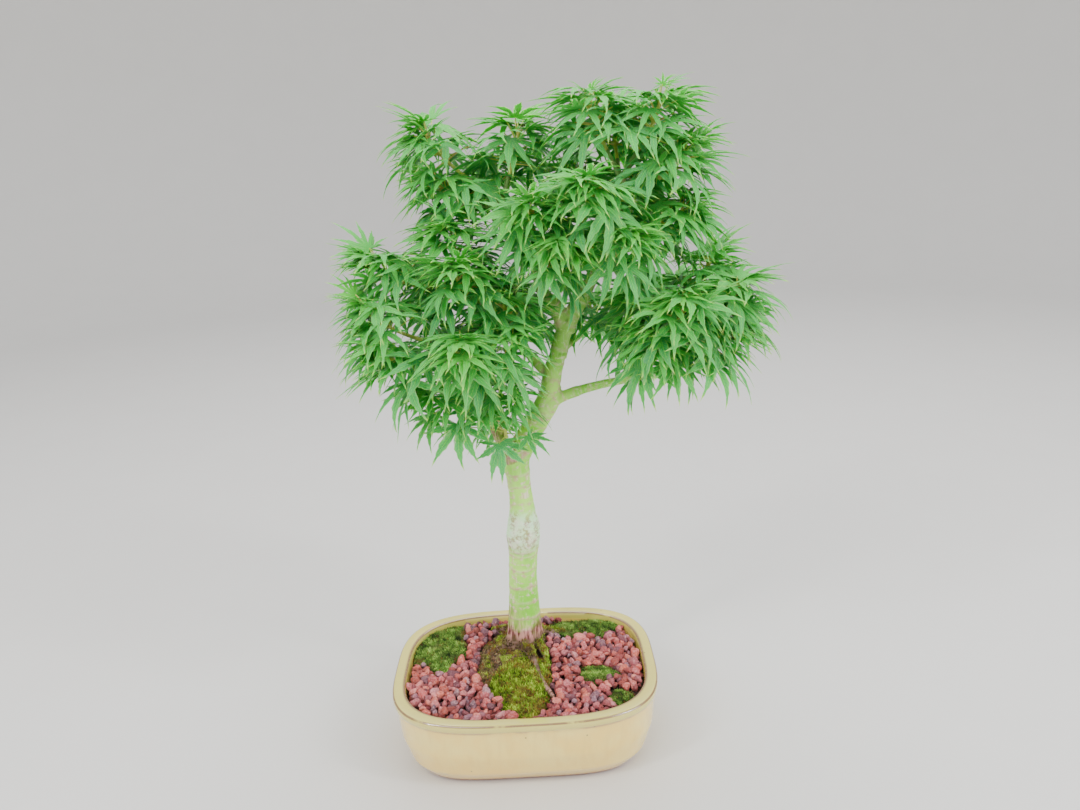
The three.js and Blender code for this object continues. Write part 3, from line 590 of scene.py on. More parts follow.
def show(name, mesh, slot, nodes, *finishes, sharp=None):
    """Puts a piece on the object: it rides on the frame's body and stands for these nodes."""
    for finish in finishes:
        mesh.materials.append(finish)
    mesh.shade_smooth()
    if sharp is not None:
        mesh.set_sharp_from_angle(angle=math.radians(sharp))
    piece = put(name, mesh)
    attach(piece, "root")
    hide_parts(*nodes)
    return piece


def ring_faces(rings, sides, capped=True):
    """Quads between rings of points, with a fan at each end."""
    faces = []
    for r in range(rings - 1):
        for i in range(sides):
            a = r * sides + i
            b = r * sides + (i + 1) % sides
            faces.append((a, b, b + sides, a + sides))
    if capped:
        faces.append(tuple(reversed(range(sides))))
        faces.append(tuple(range((rings - 1) * sides, rings * sides)))
    return faces


def skin(rings, capped=True):
    """One skin over rings of points."""
    return np.concatenate(rings), ring_faces(len(rings), len(rings[0]), capped)


def circle(sides):
    """The turns of a ring's points."""
    return np.linspace(0, 2 * math.pi, sides, endpoint=False)


def unit(vector):
    return vector / np.linalg.norm(vector)


def fade(value, start, end):
    """From 0 at start to 1 at end."""
    return np.clip((value - start) / (end - start), 0, 1)


def taper(start, end):
    """A radius that runs evenly from one end of a stem to the other."""
    def radius(u):
        return start + (end - start) * u
    return radius


def steady_side(direction):
    """The axis that a stem's rings are turned by: one that the stem doesn't run along."""
    return RIGHT if abs(direction[2]) > 0.8 else UP


class Draws:
    """The seeded numbers that the frame's leaves were placed by."""

    def __init__(self, seed):
        self.state = seed

    def share(self):
        self.state = (self.state * 1664525 + 1013904223) % 4294967296
        return self.state / 4294967296

    def between(self, low, high):
        return low + (high - low) * self.share()

    def at_age(self, habit, age):
        young, old, less, more = habit
        return young + (old - young) * age + self.between(less, more)


class Path:
    """A smooth line, walked by shares of its length."""

    def __init__(self, points):
        self.points = np.array(points, float)
        self.steps = np.linspace(0, 1, 201)
        places = np.array([self.at(t) for t in self.steps])
        lengths = np.linalg.norm(np.diff(places[:, :3], axis=0), axis=1)
        self.walked = np.concatenate([[0], np.cumsum(lengths)])
        self.length = self.walked[-1]

    def share(self, u):
        return float(np.interp(u * self.length, self.walked, self.steps))

    def point(self, u):
        return self.at(self.share(u))

    def tangent(self, u):
        t = self.share(u)
        ahead = self.at(min(t + 1e-4, 1)) - self.at(max(t - 1e-4, 0))
        return unit(ahead[:3])


class Bend(Path):
    """A curve from the first point to the last, drawn by two handles between them."""

    def at(self, t):
        a, b, c, d = self.points
        s = 1 - t
        return s ** 3 * a + 3 * s * s * t * b + 3 * s * t * t * c + t ** 3 * d


class Route(Path):
    """A curve that runs through all its points."""

    def at(self, t):
        points = self.points
        last = len(points) - 1
        k = min(int(t * last), last - 1)
        weight = t * last - k
        here = points[k]
        there = points[k + 1]
        before = points[k - 1] if k > 0 else 2 * points[0] - points[1]
        after = points[k + 2] if k + 2 <= last else 2 * points[last] - points[last - 1]
        spans = ((before, here), (here, there), (there, after))
        behind, long, ahead = [np.linalg.norm(b - a) ** 0.5 for a, b in spans]
        step = there - here
        leave = long * ((here - before) / behind - (there - before) / (behind + long) + step / long)
        arrive = long * (step / long - (after - here) / (long + ahead) + (after - there) / ahead)
        square = (3 * step - 2 * leave - arrive) * weight ** 2
        cube = (leave + arrive - 2 * step) * weight ** 3
        return here + leave * weight + square + cube


def tube(path, start, end, radius_at, sides, steps):
    """A tube along a path, from one share of its length to another."""
    side = steady_side(unit(path.point(1)[:3] - path.point(0)[:3]))
    turns = circle(sides)
    rings = []
    for u in np.linspace(start, end, steps + 1):
        tangent = path.tangent(u)
        first = unit(side - side.dot(tangent) * tangent)
        second = np.cross(tangent, first)
        offsets = np.outer(np.cos(turns), first) + np.outer(np.sin(turns), second)
        rings.append(path.point(u)[:3] + radius_at(u) * offsets)
    return skin(rings)


# Pot

def side_inwards(z):
    """How far in from the rim to the foot the pot's outside is, from 0 to 1, smooth over its height."""
    heights, shares = zip(*POT_SIDE)
    fine = np.linspace(0, heights[-1], 400)
    rough = np.interp(fine, heights, shares)
    width = 41
    below = 2 * rough[0] - rough[width - 1:0:-1]
    above = 2 * rough[-1] - rough[-2:-width - 1:-1]
    kernel = np.hanning(width + 2)[1:-1]
    smooth = np.convolve(np.concatenate([below, rough, above]), kernel / kernel.sum(), "same")
    return np.interp(z, fine, smooth[width - 1:width - 1 + len(fine)])


def pot_outline(inwards, z, shrink=0.0, points=POT_POINTS):
    """Outline of the pot at one height: a rounded rectangle between the rim's and the foot's."""
    length = POT_LENGTH + (FOOT_LENGTH - POT_LENGTH) * inwards - 2 * shrink
    depth = POT_DEPTH + (FOOT_DEPTH - POT_DEPTH) * inwards - 2 * shrink
    power = RIM_POWER + (FOOT_POWER - RIM_POWER) * inwards
    turns = 2 * math.pi * (np.arange(points) + 0.5) / points
    c = np.cos(turns)
    s = np.sin(turns)
    x = length / 2 * np.sign(c) * np.abs(c) ** (2 / power)
    y = depth / 2 * np.sign(s) * np.abs(s) ** (2 / power)
    return np.column_stack([x, y, np.full(points, float(z))])


def inner_ring(z, clearance=0.0, points=POT_POINTS):
    height = (z - FLOOR_THICKNESS) / (POT_HEIGHT - FLOOR_THICKNESS)
    inwards = INNER_REACH * (1 - height) ** INNER_POWER
    wall = WALL_THICKNESS + (LIP_WIDTH - WALL_THICKNESS) * height
    return pot_outline(inwards, z, wall + clearance, points)


def inner_wall(z, clearance=0.0, points=POT_POINTS):
    if z < KNEE:
        return inner_ring(z, clearance, points)
    share = (z - KNEE) / (BRIM - KNEE)
    return (1 - share) * inner_ring(KNEE, clearance, points) + share * inner_ring(BRIM, clearance, points)


def pot_rings():
    rings = [pot_outline(1, 0, 3), pot_outline(1, 0, 0.9), pot_outline(1, 0.9, 0)]
    for z in np.concatenate([np.linspace(2.5, 22, 14), np.linspace(25, 76, 18)]):
        inwards = side_inwards(z)
        rings.append(pot_outline(inwards, z, LIP_BULGE * (1 - inwards)))
    for z, shrink in LIP_UNDERSIDE:
        rings.append(pot_outline(0.02 * (1 - (z - 76) / 7), z, shrink))
    rings.append(pot_outline(0, 84.4, 0))
    for turn in np.radians([0, 14, 28, 42, 56, 70, 82]):
        down = EDGE_ROUND * (1 - math.sin(turn))
        rings.append(pot_outline(0, POT_HEIGHT - down, EDGE_ROUND * (1 - math.cos(turn))))
    for inward in (4, 6.5, 9, 11.5):
        rings.append(pot_outline(0, POT_HEIGHT - 0.012 * (inward - 6) ** 2, inward))
    rings.append(pot_outline(0, POT_HEIGHT - 0.7, LIP_WIDTH - 1.3))
    rings.append(inner_wall(BRIM, -0.3))
    for z in (84, 80, 76, 60, KNEE, 30, 20, 14):
        rings.append(inner_wall(z))
    rings.append(inner_wall(FLOOR_THICKNESS, FLOOR_ROUND))
    return rings


def box(middle, half, low, high):
    """Points and faces of an upright box."""
    points = [(middle[0] + sx * half[0], middle[1] + sy * half[1], z)
              for z in (low, high) for sx, sy in ((-1, -1), (1, -1), (1, 1), (-1, 1))]
    return points, ring_faces(2, 4)


def cutter(points, faces):
    """A scratch solid that cuts the pot."""
    mesh = bpy.data.meshes.new("cutter")
    mesh.from_pydata((np.asarray(points) * MM).tolist(), [], faces)
    return put("cutter", mesh)


def hole_cutter(x, y, radius, sides):
    turns = circle(sides)
    rings = [np.column_stack([x + radius * np.cos(turns), y + radius * np.sin(turns), np.full(sides, z)])
             for z in (-5.0, FLOOR_THICKNESS + 5.0)]
    return cutter(*skin(rings))


def make_pot(glaze):
    heap = Heap()
    heap.add(*skin(pot_rings()))
    rough = put("pot rough", heap.mesh("pot body"))
    cutters = []
    length, width, depth = CHANNEL
    for side in (-1, 1):
        cutters.append(hole_cutter(side * DRAIN_X, 0, DRAIN_RADIUS, 40))
        middle = (side * (DRAIN_X + length / 2), 0)
        cutters.append(cutter(*box(middle, (length / 2, width / 2), -depth, depth)))
        for end in (-1, 1):
            cutters.append(hole_cutter(side * WIRE_HOLE[0], end * WIRE_HOLE[1], WIRE_RADIUS, 20))
    for piece in cutters:
        cut = rough.modifiers.new("cut", "BOOLEAN")
        cut.operation = "DIFFERENCE"
        cut.solver = "EXACT"
        cut.object = piece
    mesh = settled_mesh(rough)
    for piece in (rough, *cutters):
        bpy.data.objects.remove(piece)
    show("glazed_pot", mesh, "glaze", ["pot"], glaze, sharp=38)


def settled_mesh(piece):
    """The mesh of a piece with its modifiers applied."""
    graph = bpy.context.evaluated_depsgraph_get()
    return bpy.data.meshes.new_from_object(piece.evaluated_get(graph))


def make_screens(plastic):
    """Drain screens: woven plastic bars under the soil."""
    count = int(SCREEN_SIDE / SCREEN_PITCH)
    long = SCREEN_SIDE / 2
    thin = SCREEN_BAR / 2
    for side, name in ((-1, "left"), (1, "right")):
        heap = Heap()
        for k in range(count + 1):
            offset = thin - long + k * (SCREEN_SIDE - SCREEN_BAR) / count
            bars = [((side * DRAIN_X, offset), (long, thin), 0),
                    ((side * DRAIN_X + offset, 0), (thin, long), SCREEN_WEAVE)]
            for middle, half, lift in bars:
                low = FLOOR_THICKNESS + GAP + lift
                heap.add(*box(middle, half, low, low + SCREEN_DEPTH))
        mesh = heap.mesh("screen " + name)
        show("drain_screen_" + name, mesh, "screen_plastic", ["screen_" + name], plastic, sharp=30)


# Ground

def fbm(points, grain, seed=0.0, octaves=3):
    """Layered noise at points in millimetres."""
    offset = Vector((seed * 7.1, seed * 3.3, seed * 5.7))
    return np.array([noise.fractal(Vector(p) / grain + offset, 1.0, 2.0, octaves) for p in points])


def make_soil(earth):
    """The soil fills the pot to below its lip; its top is crumbly."""
    levels = [(FLOOR_THICKNESS + GAP, FLOOR_ROUND + GAP), (25, GAP), (KNEE, GAP), (60, GAP),
              (SOIL_TOP - 1.5, GAP)]
    rings = [inner_wall(z, clearance, SOIL_POINTS) for z, clearance in levels]
    edge = inner_wall(SOIL_TOP, GAP, SOIL_POINTS)
    for share in np.linspace(0.995, 0.02, 44):
        ring = edge * np.array([share, share, 1.0])
        ring[:, 2] += 0.9 * fbm(ring, 6, 2.0) - 0.5
        rings.append(ring)
    heap = Heap()
    heap.add(*skin(rings))
    show("pot_soil", heap.mesh("soil"), "soil", ["soil"], earth)


# Patches on the soil: middle, half widths, height of the dome over its edge, seed, how wavy the edge is,
# the y in front of which the moss is dry, and how high the patch stands against a moss cushion
Patch = namedtuple("Patch", "x y across deep crown seed wave dry_before rise", defaults=(-200, 1))
PATCHES = {
    "moss_left": Patch(-106, 52, 36, 56, 7, 11, 0.09),
    "moss_middle": Patch(-4, -36, 36, 62, 10, 12, 0.08, dry_before=-56),
    "moss_back": Patch(76, 78, 50, 22, 6, 13, 0.1),
    "moss_right": Patch(85, -22, 24, 17, 5, 14, 0.12),
    "moss_front": Patch(108, -68, 15, 13, 5, 15, 0.1),
    "litter": Patch(-22, 22, 34, 62, 3.5, 16, 0.1, rise=0.8),
}
# Height of a patch at its edge, and how deep the edge is sunk
PATCH_EDGE = 2
EDGE_SUNK = 2


def patch_reach(patch, turn):
    """How far out a patch's wavy edge is each way, against a plain oval."""
    return 1 + patch.wave * (np.sin(3 * turn + patch.seed) + 0.7 * np.sin(5 * turn + 2 * patch.seed))


def on_patch(patch, turn, share):
    """Points of a patch, by their way from its middle and their share of the way to its edge."""
    out = share * patch_reach(patch, turn)
    return patch.x + patch.across * out * np.cos(turn), patch.y + patch.deep * out * np.sin(turn)


def patch_share(patch, x, y):
    """How far out from a patch's middle a point is, with 1 at its edge."""
    dx = (x - patch.x) / patch.across
    dy = (y - patch.y) / patch.deep
    return np.hypot(dx, dy) / patch_reach(patch, np.arctan2(dy, dx))


def wall_reach(x, y, margin):
    """How far out the pot's wall is at the soil's height, the way each point lies, less a margin."""
    ring = inner_wall(SOIL_TOP, margin, 720)
    angles = np.arctan2(ring[:, 1], ring[:, 0])
    order = np.argsort(angles)
    far = np.hypot(ring[:, 0], ring[:, 1])
    return np.interp(np.arctan2(y, x), angles[order], far[order], period=2 * math.pi)


def in_pot(x, y, margin):
    return np.hypot(x, y) < wall_reach(x, y, margin)


def kept_in_pot(x, y, margin):
    """Points drawn straight back towards the pot's middle until they lie inside its wall."""
    scale = np.minimum(1, wall_reach(x, y, margin) / np.maximum(np.hypot(x, y), 1e-6))
    return x * scale, y * scale


def root_paths():
    """Lines of the roots: they sink and thin as they run out over the soil."""
    paths = []
    for radii, points in ROOTS:
        line = []
        for k, (x, y) in enumerate(points):
            out = k / (len(points) - 1)
            radius = taper(*radii)(out)
            line.append((x, y, SOIL_TOP + ROOT_LIFT + radius + ROOT_RISE * (1 - out) ** 3, radius))
        paths.append(Route(line))
    return paths


def wood_distance(paths):
    """A function that gives how far points of the ground are from the trunk's foot and the roots."""
    spots = [(0, TRUNK_Y, FOOT_RADIUS)]
    spots += [path.point(u)[[0, 1, 3]] for path in paths for u in np.linspace(0, 1, 30)]
    spot_x, spot_y, radius = np.array(spots, float).T

    def distance(x, y):
        gaps = np.hypot(np.subtract.outer(x, spot_x), np.subtract.outer(y, spot_y)) - radius
        return gaps.min(axis=1)

    return distance


# Width of a tuft of moss, and height of a tuft over the gaps
TUFT = 6.5
TUFT_HEIGHT = 1.7
# Width and height of a patch's lumps
LUMP = 13
LUMP_HEIGHT = 2.8


def tufts(x, y, seed):
    """How near to the middle of its tuft each point of the moss is: 1 there, 0 in the gaps."""
    near = [noise.voronoi(Vector((px / TUFT, py / TUFT, seed)))[0][0] for px, py in zip(x, y)]
    return np.clip(1.25 - 1.7 * np.array(near), 0, 1)


def patch_top(patch, share, x, y):
    """Height of a patch's lumpy top."""
    lumps = fbm(np.column_stack([x, y, np.full(len(x), float(patch.seed))]), LUMP, patch.seed)
    share = share + 0.1 * lumps
    dome = PATCH_EDGE + patch.crown * np.clip(1 - share ** 2, 0, 1)
    bumps = LUMP_HEIGHT * lumps + TUFT_HEIGHT * (tufts(x, y, patch.seed) - 0.6)
    height = dome * np.clip((1.02 - share) * 7, 0, 1) ** 0.5 + bumps * np.clip(1.15 - share, 0, 1)
    return SOIL_TOP + GAP + patch.rise * height


def patch_skin(patch, sides, steps):
    """A patch's own skin, from an edge sunk in the soil to its middle."""
    turns = circle(sides)
    rings = []
    for share in (1.0, *np.linspace(0.99, 0.02, steps)):
        x, y = kept_in_pot(*on_patch(patch, turns, share), GAP)
        top = patch_top(patch, share, x, y) if share < 1 else np.full(sides, SOIL_TOP + GAP - EDGE_SUNK)
        rings.append(np.column_stack([x, y, top]))
    return skin(rings)


# Half width of a moss shoot's foot, and how deep the foot stands in the cushion
SHOOT_WIDTH = (0.36, 0.8)
SHOOT_DEPTH = 0.6


def add_shoots(heap, places, rng, tall, rust, finish=0, wide=SHOOT_WIDTH):
    """Small pointed moss shoots that lean all ways, some of them rusty, which stand in drifts."""
    count = len(places)
    height = rng.uniform(*tall, count)
    turn = rng.uniform(0, 2 * math.pi, count)
    width = rng.uniform(*wide, count)[:, None]
    drift = fbm(places, 11, 9.0, 2)
    rusty = (rng.uniform(0, 1, count) < rust * (1 + 5 * drift)) * rng.uniform(0.3, 1, count)
    foot = places - SHOOT_DEPTH * UP
    lean = rng.normal(0, 0.5, (count, 2)) * height[:, None]
    corners = []
    for k in range(3):
        angle = turn + k * 2 * math.pi / 3
        corners.append(foot + width * np.column_stack([np.cos(angle), np.sin(angle), np.zeros(count)]))
    top = foot + np.column_stack([lean, height + SHOOT_DEPTH])
    points = np.stack([*corners, top], axis=1).reshape(-1, 3)
    faces = [(k + a, k + b, k + c) for k in range(0, 4 * count, 4)
             for a, b, c in ((0, 2, 1), (0, 1, 3), (1, 2, 3), (2, 0, 3))]
    # Painted light and shade: shoots are lighter in the middle of each tuft and darker towards the gaps,
    # with a random tone added
    lit = tufts(places[:, 0], places[:, 1], 2.0) * 0.8 + rng.uniform(-0.2, 0.4, count)
    tints = np.ones((count, 4, 4))
    tints[:, :, 0] = [0.2, 0.2, 0.2, 1]
    tints[:, :, 1] = np.clip(lit, 0, 1)[:, None]
    tints[:, :, 2] = rusty[:, None] * [0.3, 0.3, 0.3, 1]
    heap.add(points, faces, tints.reshape(-1, 4), 0.0, finish)


def strewn(patch, density, rng, distance, spread=1.02):
    """Random places on a patch, inside the pot and off the wood, and how far out on it they are."""
    count = int(math.pi * patch.across * patch.deep * density)
    turn = rng.uniform(0, 2 * math.pi, count)
    share = np.sqrt(rng.uniform(0, 1, count)) * spread
    x, y = on_patch(patch, turn, share)
    kept = in_pot(x, y, 0.6) & (distance(x, y) > -1.5)
    return x[kept], y[kept], share[kept]


def make_moss(name, finish, distance, density, tall, rust, wide):
    patch = PATCHES[name]
    rng = np.random.default_rng(patch.seed)
    heap = Heap()
    heap.add(*patch_skin(patch, 72, 26), (0.15, 0.5, 0, 1))
    x, y, share = strewn(patch, density, rng, distance)
    places = np.column_stack([x, y, patch_top(patch, share, x, y)])
    # A cushion's edge is drier, and so is the front of the middle one
    dry = 0.5 * fade(share, 0.75, 1) + 0.6 * fade(y, patch.dry_before, patch.dry_before - 16)
    add_shoots(heap, places, rng, tall, rust + dry, wide=wide)
    show(name + "_cushion", heap.mesh(name), "moss", [name], finish)


def ball_mesh(cuts):
    """Points and quads of a cube with cuts squares along each side, blown up to a ball of radius 1."""
    index = {}
    points = []
    faces = []
    axes = [(0, 1, 2), (1, 2, 0), (2, 0, 1)]
    for a, b, c in axes:
        for sign in (-1, 1):
            grid = {}
            for i in range(cuts + 1):
                for j in range(cuts + 1):
                    spot = [0.0, 0.0, 0.0]
                    spot[a] = math.tan((i / cuts - 0.5) * math.pi / 2)
                    spot[b] = math.tan((j / cuts - 0.5) * math.pi / 2)
                    spot[c] = float(sign)
                    key = tuple(round(s, 5) for s in spot)
                    if key not in index:
                        index[key] = len(points)
                        points.append(unit(np.array(spot)))
                    grid[i, j] = index[key]
            for i in range(cuts):
                for j in range(cuts):
                    quad = (grid[i, j], grid[i + 1, j], grid[i + 1, j + 1], grid[i, j + 1])
                    faces.append(quad if sign > 0 else quad[::-1])
    return np.array(points), faces


# Crushed stones: flat faces, their distance from the middle, how sharp the edges are, longest radius,
# roughness, and how much longer or shorter a stone is along each of its axes
FLATS = 9
FLAT_DISTANCE = (0.5, 0.94)
EDGE_SHARPNESS = 22.0
LONGEST_RADIUS = 1.2
STONE_ROUGHNESS = 0.04
STONE_STRETCH = (0.72, 1.34)


def crushed_stone(rng, ball):
    """A ball flattened by planes into an angular stone, about 1 in radius."""
    planes = rng.normal(size=(FLATS, 3))
    planes /= np.linalg.norm(planes, axis=1)[:, None]
    distances = rng.uniform(*FLAT_DISTANCE, FLATS)
    facing = ball @ planes.T
    reach = np.where(facing > 0.05, distances / np.maximum(facing, 0.05), 9.0)
    # A soft minimum rounds the edges between the flats
    radius = (reach ** -EDGE_SHARPNESS).sum(axis=1) ** (-1 / EDGE_SHARPNESS)
    radius = np.minimum(radius, LONGEST_RADIUS) * (1 + STONE_ROUGHNESS * rng.normal(size=len(ball)))
    return ball * radius[:, None] * rng.uniform(*STONE_STRETCH, 3)


def turned(rng):
    """A random turn."""
    return np.array(Quaternion(unit(rng.normal(size=4))).to_matrix())


# Distance between the rows of a triangular lattice, as a share of its pitch
ROW_PITCH = 0.866


def scatter(rng, pitch, jitter):
    """A triangular lattice over the pot, strewn a little."""
    rows = int(POT_DEPTH / (pitch * ROW_PITCH)) + 1
    columns = int(POT_LENGTH / pitch) + 1
    places = [((column - columns / 2 + (row % 2) / 2) * pitch, (row - rows / 2) * pitch * ROW_PITCH)
              for row in range(rows) for column in range(columns)]
    return (np.array(places) + rng.uniform(-jitter, jitter, (len(places), 2))).T


def free_ground(x, y, distance, margin, spread):
    """Where gravel lies: inside the pot, off the patches and off the wood."""
    free = in_pot(x, y, margin) & (distance(x, y) > spread)
    waver = 0.12 * fbm(np.column_stack([x, y, 0 * x]), 9, 3.0, 2)
    for patch in PATCHES.values():
        free &= patch_share(patch, x, y) > 0.96 + spread / min(patch.across, patch.deep) + waver
    return free


# Layers of gravel: squares along a side of the stones' mesh, pitch, how far a stone strays, height of its
# middle over the soil, stones' radii, room to the pot's wall, and how light the stones are; the lower layer
# is kept dark as painted shade in the gaps between the upper stones
GRAVEL = [(2, 8.6, 1.6, 2.6, (3.8, 4.8), 3.4, (0, 0.2)), (4, 9.3, 2.6, 5.6, (3.3, 5.9), 4.4, (0.1, 1))]
STONE_SHAPES = 36
# Share of large stones and how much larger they are, and share of grey stones
LARGE_STONES = (0.12, 1.28)
GREY_STONES = 0.15
# Room between gravel and wood
STONE_ROOM = 2.6


def make_gravel(finish, distance):
    rng = np.random.default_rng(71)
    heap = Heap()
    for cuts, pitch, jitter, level, sizes, margin, lights in GRAVEL:
        ball, faces = ball_mesh(cuts)
        shapes = [crushed_stone(rng, ball) for _ in range(STONE_SHAPES)]
        x, y = scatter(rng, pitch, jitter)
        free = free_ground(x, y, distance, margin, STONE_ROOM)
        for px, py in zip(x[free], y[free]):
            size = rng.uniform(*sizes) * (LARGE_STONES[1] if rng.uniform() < LARGE_STONES[0] else 1)
            stone = shapes[rng.integers(len(shapes))] @ turned(rng).T * size
            z = SOIL_TOP + GAP + level + rng.uniform(-1.0, 1.3)
            red = rng.uniform() > GREY_STONES
            hue = np.clip(rng.normal(0.58, 0.22), 0, 1) if red else rng.uniform(0, 0.2)
            # Green: how light the stone is, kept low on the lower layer as painted shade in the gaps
            tints = np.ones((len(stone), 4)) * (hue, rng.uniform(*lights), 1, 1)
            # Blue: how high on the stone a point is, for painted shade on its underside
            tints[:, 2] = np.clip(0.68 + 0.6 * stone[:, 2] / size, 0, 1)
            heap.add(stone + np.array([px, py, z]), faces, tints)
    show("lava_gravel", heap.mesh("gravel"), "gravel", ["gravel"], finish, sharp=34)


def litter_places(density, rng, distance, clearance):
    """Random places on the litter, off the middle moss."""
    patch = PATCHES["litter"]
    x, y, share = strewn(patch, density, rng, distance, 1.05)
    kept = patch_share(PATCHES["moss_middle"], x, y) > clearance
    x, y, share = x[kept], y[kept], share[kept]
    return np.column_stack([x, y, patch_top(patch, share, x, y)])


def add_crumb(heap, place, rng, ball, faces):
    """A crumb of soil, or one time in three a splinter."""
    long = rng.uniform() < 0.3
    size = np.array([rng.uniform(2, 4.5), 0.5, 0.45]) if long else rng.uniform(0.6, 1.8, 3)
    turn = np.array(Matrix.Rotation(rng.uniform(0, math.pi), 3, "Z"))
    crumb = ball * (1 + 0.2 * rng.normal(size=(len(ball), 1))) * size @ turn.T
    heap.add(crumb + place + 0.5 * UP, faces, (rng.uniform(0, 1), 0, 0, 1))


def make_litter(finishes, distance, wood):
    """Crumbs, scraps of bark and dead leaf round the trunk's foot, with moss between them and on the roots.
    The finishes are the litter's, and those of the olive and the golden moss."""
    patch = PATCHES["litter"]
    rng = np.random.default_rng(patch.seed)
    heap = Heap()
    heap.add(*patch_skin(patch, 60, 20), (0.1, 0, 0, 1))
    ball, faces = ball_mesh(2)
    for place in litter_places(0.24, rng, distance, 0.9):
        add_crumb(heap, place, rng, ball, faces)
    places = litter_places(1.6, rng, distance, 0.95) + 0.3 * UP
    drift = fbm(places * (1, 1, 0), 15, 6.0)
    fresh = drift + (places[:, 0] + 16) / 40 > -0.4
    for finish, chosen in ((1, ~fresh & (drift > -0.12)), (2, fresh)):
        add_shoots(heap, places[chosen], rng, (1.2, 3.6), 0.3, finish)
    for finish, places in root_tops(wood, rng):
        add_shoots(heap, places, rng, (1.4, 3.6), 0.3, finish, (0.5, 1.0))
    show("leaf_litter", heap.mesh("litter"), "litter", ["litter"], *finishes)


# Wood below about this height is grown over by moss
MOSSY_BELOW = 94
# The front root's ridge stays bare to this distance
BARE_RIDGE = 3.1
# Rays sent down to look for the roots
MOSS_TRIES = 22000


def root_tops(wood, rng):
    """Places on top of the roots, for the olive moss, 1, and for the golden moss, 2."""
    points = [point.co for point in wood.vertices]
    low = [tuple(face.vertices) for face in wood.polygons if points[face.vertices[0]].z < 130 * MM]
    surface = BVHTree.FromPolygons(points, low)
    root = root_paths()[0]
    ridge = np.array([root.point(u)[:2] for u in np.linspace(0.35, 1, 40)])
    x = rng.uniform(-60, 60, MOSS_TRIES)
    y = rng.uniform(-50, 96, MOSS_TRIES)
    drift = fbm(np.column_stack([x, y, 0 * x]), 12, 7.0)
    found = {1: [], 2: []}
    for px, py, share in zip(x, y, drift):
        hit = surface.ray_cast(Vector((px, py, 120)) * MM, Vector((0, 0, -1)))[0]
        if hit is None or hit.z < (SOIL_TOP + 1) * MM or hit.z > (MOSSY_BELOW + 9 * share) * MM:
            continue
        if np.hypot(*(ridge - (px, py)).T).min() > BARE_RIDGE:
            found[2 if share > 0.2 or px + 30 * share > 6 else 1].append((px, py, hit.z / MM))
    return [(finish, np.array(places)) for finish, places in found.items() if places]


# Tree

def limb_path(name):
    return Route(LIMBS[name][1])


def twig_path(name):
    limb, share, tip = SPRAYS[name]
    start = limb_path(limb).point(share)
    end = np.array(tip, float)
    reach = np.linalg.norm(end - start)
    chord = unit(end - start)
    leaving = unit(chord - TWIG_SAG * UP)
    arriving = unit(chord + TWIG_RISE * UP)
    return Bend([start, start + TWIG_HANDLE * reach * leaving, end - TWIG_HANDLE * reach * arriving, end])


twig_radius = taper(*TWIG_RADII)

# Grain of the skin that the stems grow together into
VOXEL = 1.25
TRUNK_SIDES = 48
# The ridges that run from the trunk's foot into the roots: height, reach up and down, and depth
FOOT_RIDGES = (82, 24, 0.11)


def hump(value, middle, reach, power=2):
    """1 at the middle, falling off beyond the reach."""
    return np.exp(-((value - middle) / reach) ** power)


def make_wood_body(paths):
    """Trunk, limbs and roots grown together into one skin."""
    turns = circle(TRUNK_SIDES)
    middle, spread, depth = FOOT_RIDGES

    def trunk_radius(u):
        _, _, z, radius = paths["trunk"].point(u)
        ridges = depth * hump(z, middle, spread) * np.cos(5 * turns + 0.6)
        return radius * (1 + ridges)[:, None]

    def collar(radius):
        """A limb swells where it leaves its parent."""
        def radius_at(u):
            return radius * (1.0 + 0.35 * math.exp(-u * 30))
        return radius_at

    heap = Heap()
    heap.add(*tube(paths["trunk"], 0, 1, trunk_radius, TRUNK_SIDES, 150))
    for name, (radii, _) in LIMBS.items():
        heap.add(*tube(paths[name], 0, 1, taper(*radii), 20, 48))
        heap.add(*tube(paths[name], 0, 0.25, collar(radii[0]), 20, 12))
    for path, (radii, _) in zip(paths["roots"], ROOTS):
        heap.add(*tube(path, 0, 1, taper(*radii), 14, 30))
    rough = put("wood rough", heap.mesh("wood rough"))
    remesh = rough.modifiers.new("grow together", "REMESH")
    remesh.mode = "VOXEL"
    remesh.voxel_size = VOXEL * MM
    smooth = rough.modifiers.new("smooth", "SMOOTH")
    smooth.factor = 0.6
    smooth.iterations = 5
    mesh = settled_mesh(rough)
    bpy.data.objects.remove(rough)
    return mesh


# Number of the roots among the stems: the trunk is 0, and the limbs follow in their order
ROOT = -1


def wood_marks(points, paths):
    """For each point of the wood: the number of the stem it is on, and how far along that stem it is."""
    stems = list(enumerate(paths[name] for name in ("trunk", *LIMBS)))
    stems += [(ROOT, path) for path in paths["roots"]]
    spots = []
    for number, path in stems:
        for u in np.linspace(0, 1, int(path.length / 1.5)):
            spots.append((path.point(u)[:3], number, u * path.length))
    tree = KDTree(len(spots))
    for k, (spot, _, _) in enumerate(spots):
        tree.insert(spot, k)
    tree.balance()
    found = [tree.find(p)[1] for p in points]
    return np.array([spots[k][1] for k in found]), np.array([spots[k][2] for k in found])


# Old bud rings: distance from one to the next, and half width, on the trunk and on the limbs
TRUNK_RINGS = ((15, 25), 1.5)
LIMB_RINGS = ((8, 14), 0.9)
LONGEST_STEM = 620


def ring_scars(along, stem, rng):
    """Where the old bud rings lie along each stem, from 0 to 1 at a ring's middle."""
    scars = np.zeros(len(along))
    for number in range(len(LIMBS) + 1):
        pitch, width = TRUNK_RINGS if number == 0 else LIMB_RINGS
        place = rng.uniform(4, 10)
        while place < LONGEST_STEM:
            ring = hump(along, place, width) * rng.uniform(0.55, 1)
            scars = np.where(stem == number, np.maximum(scars, ring), scars)
            place += rng.uniform(*pitch)
    return scars


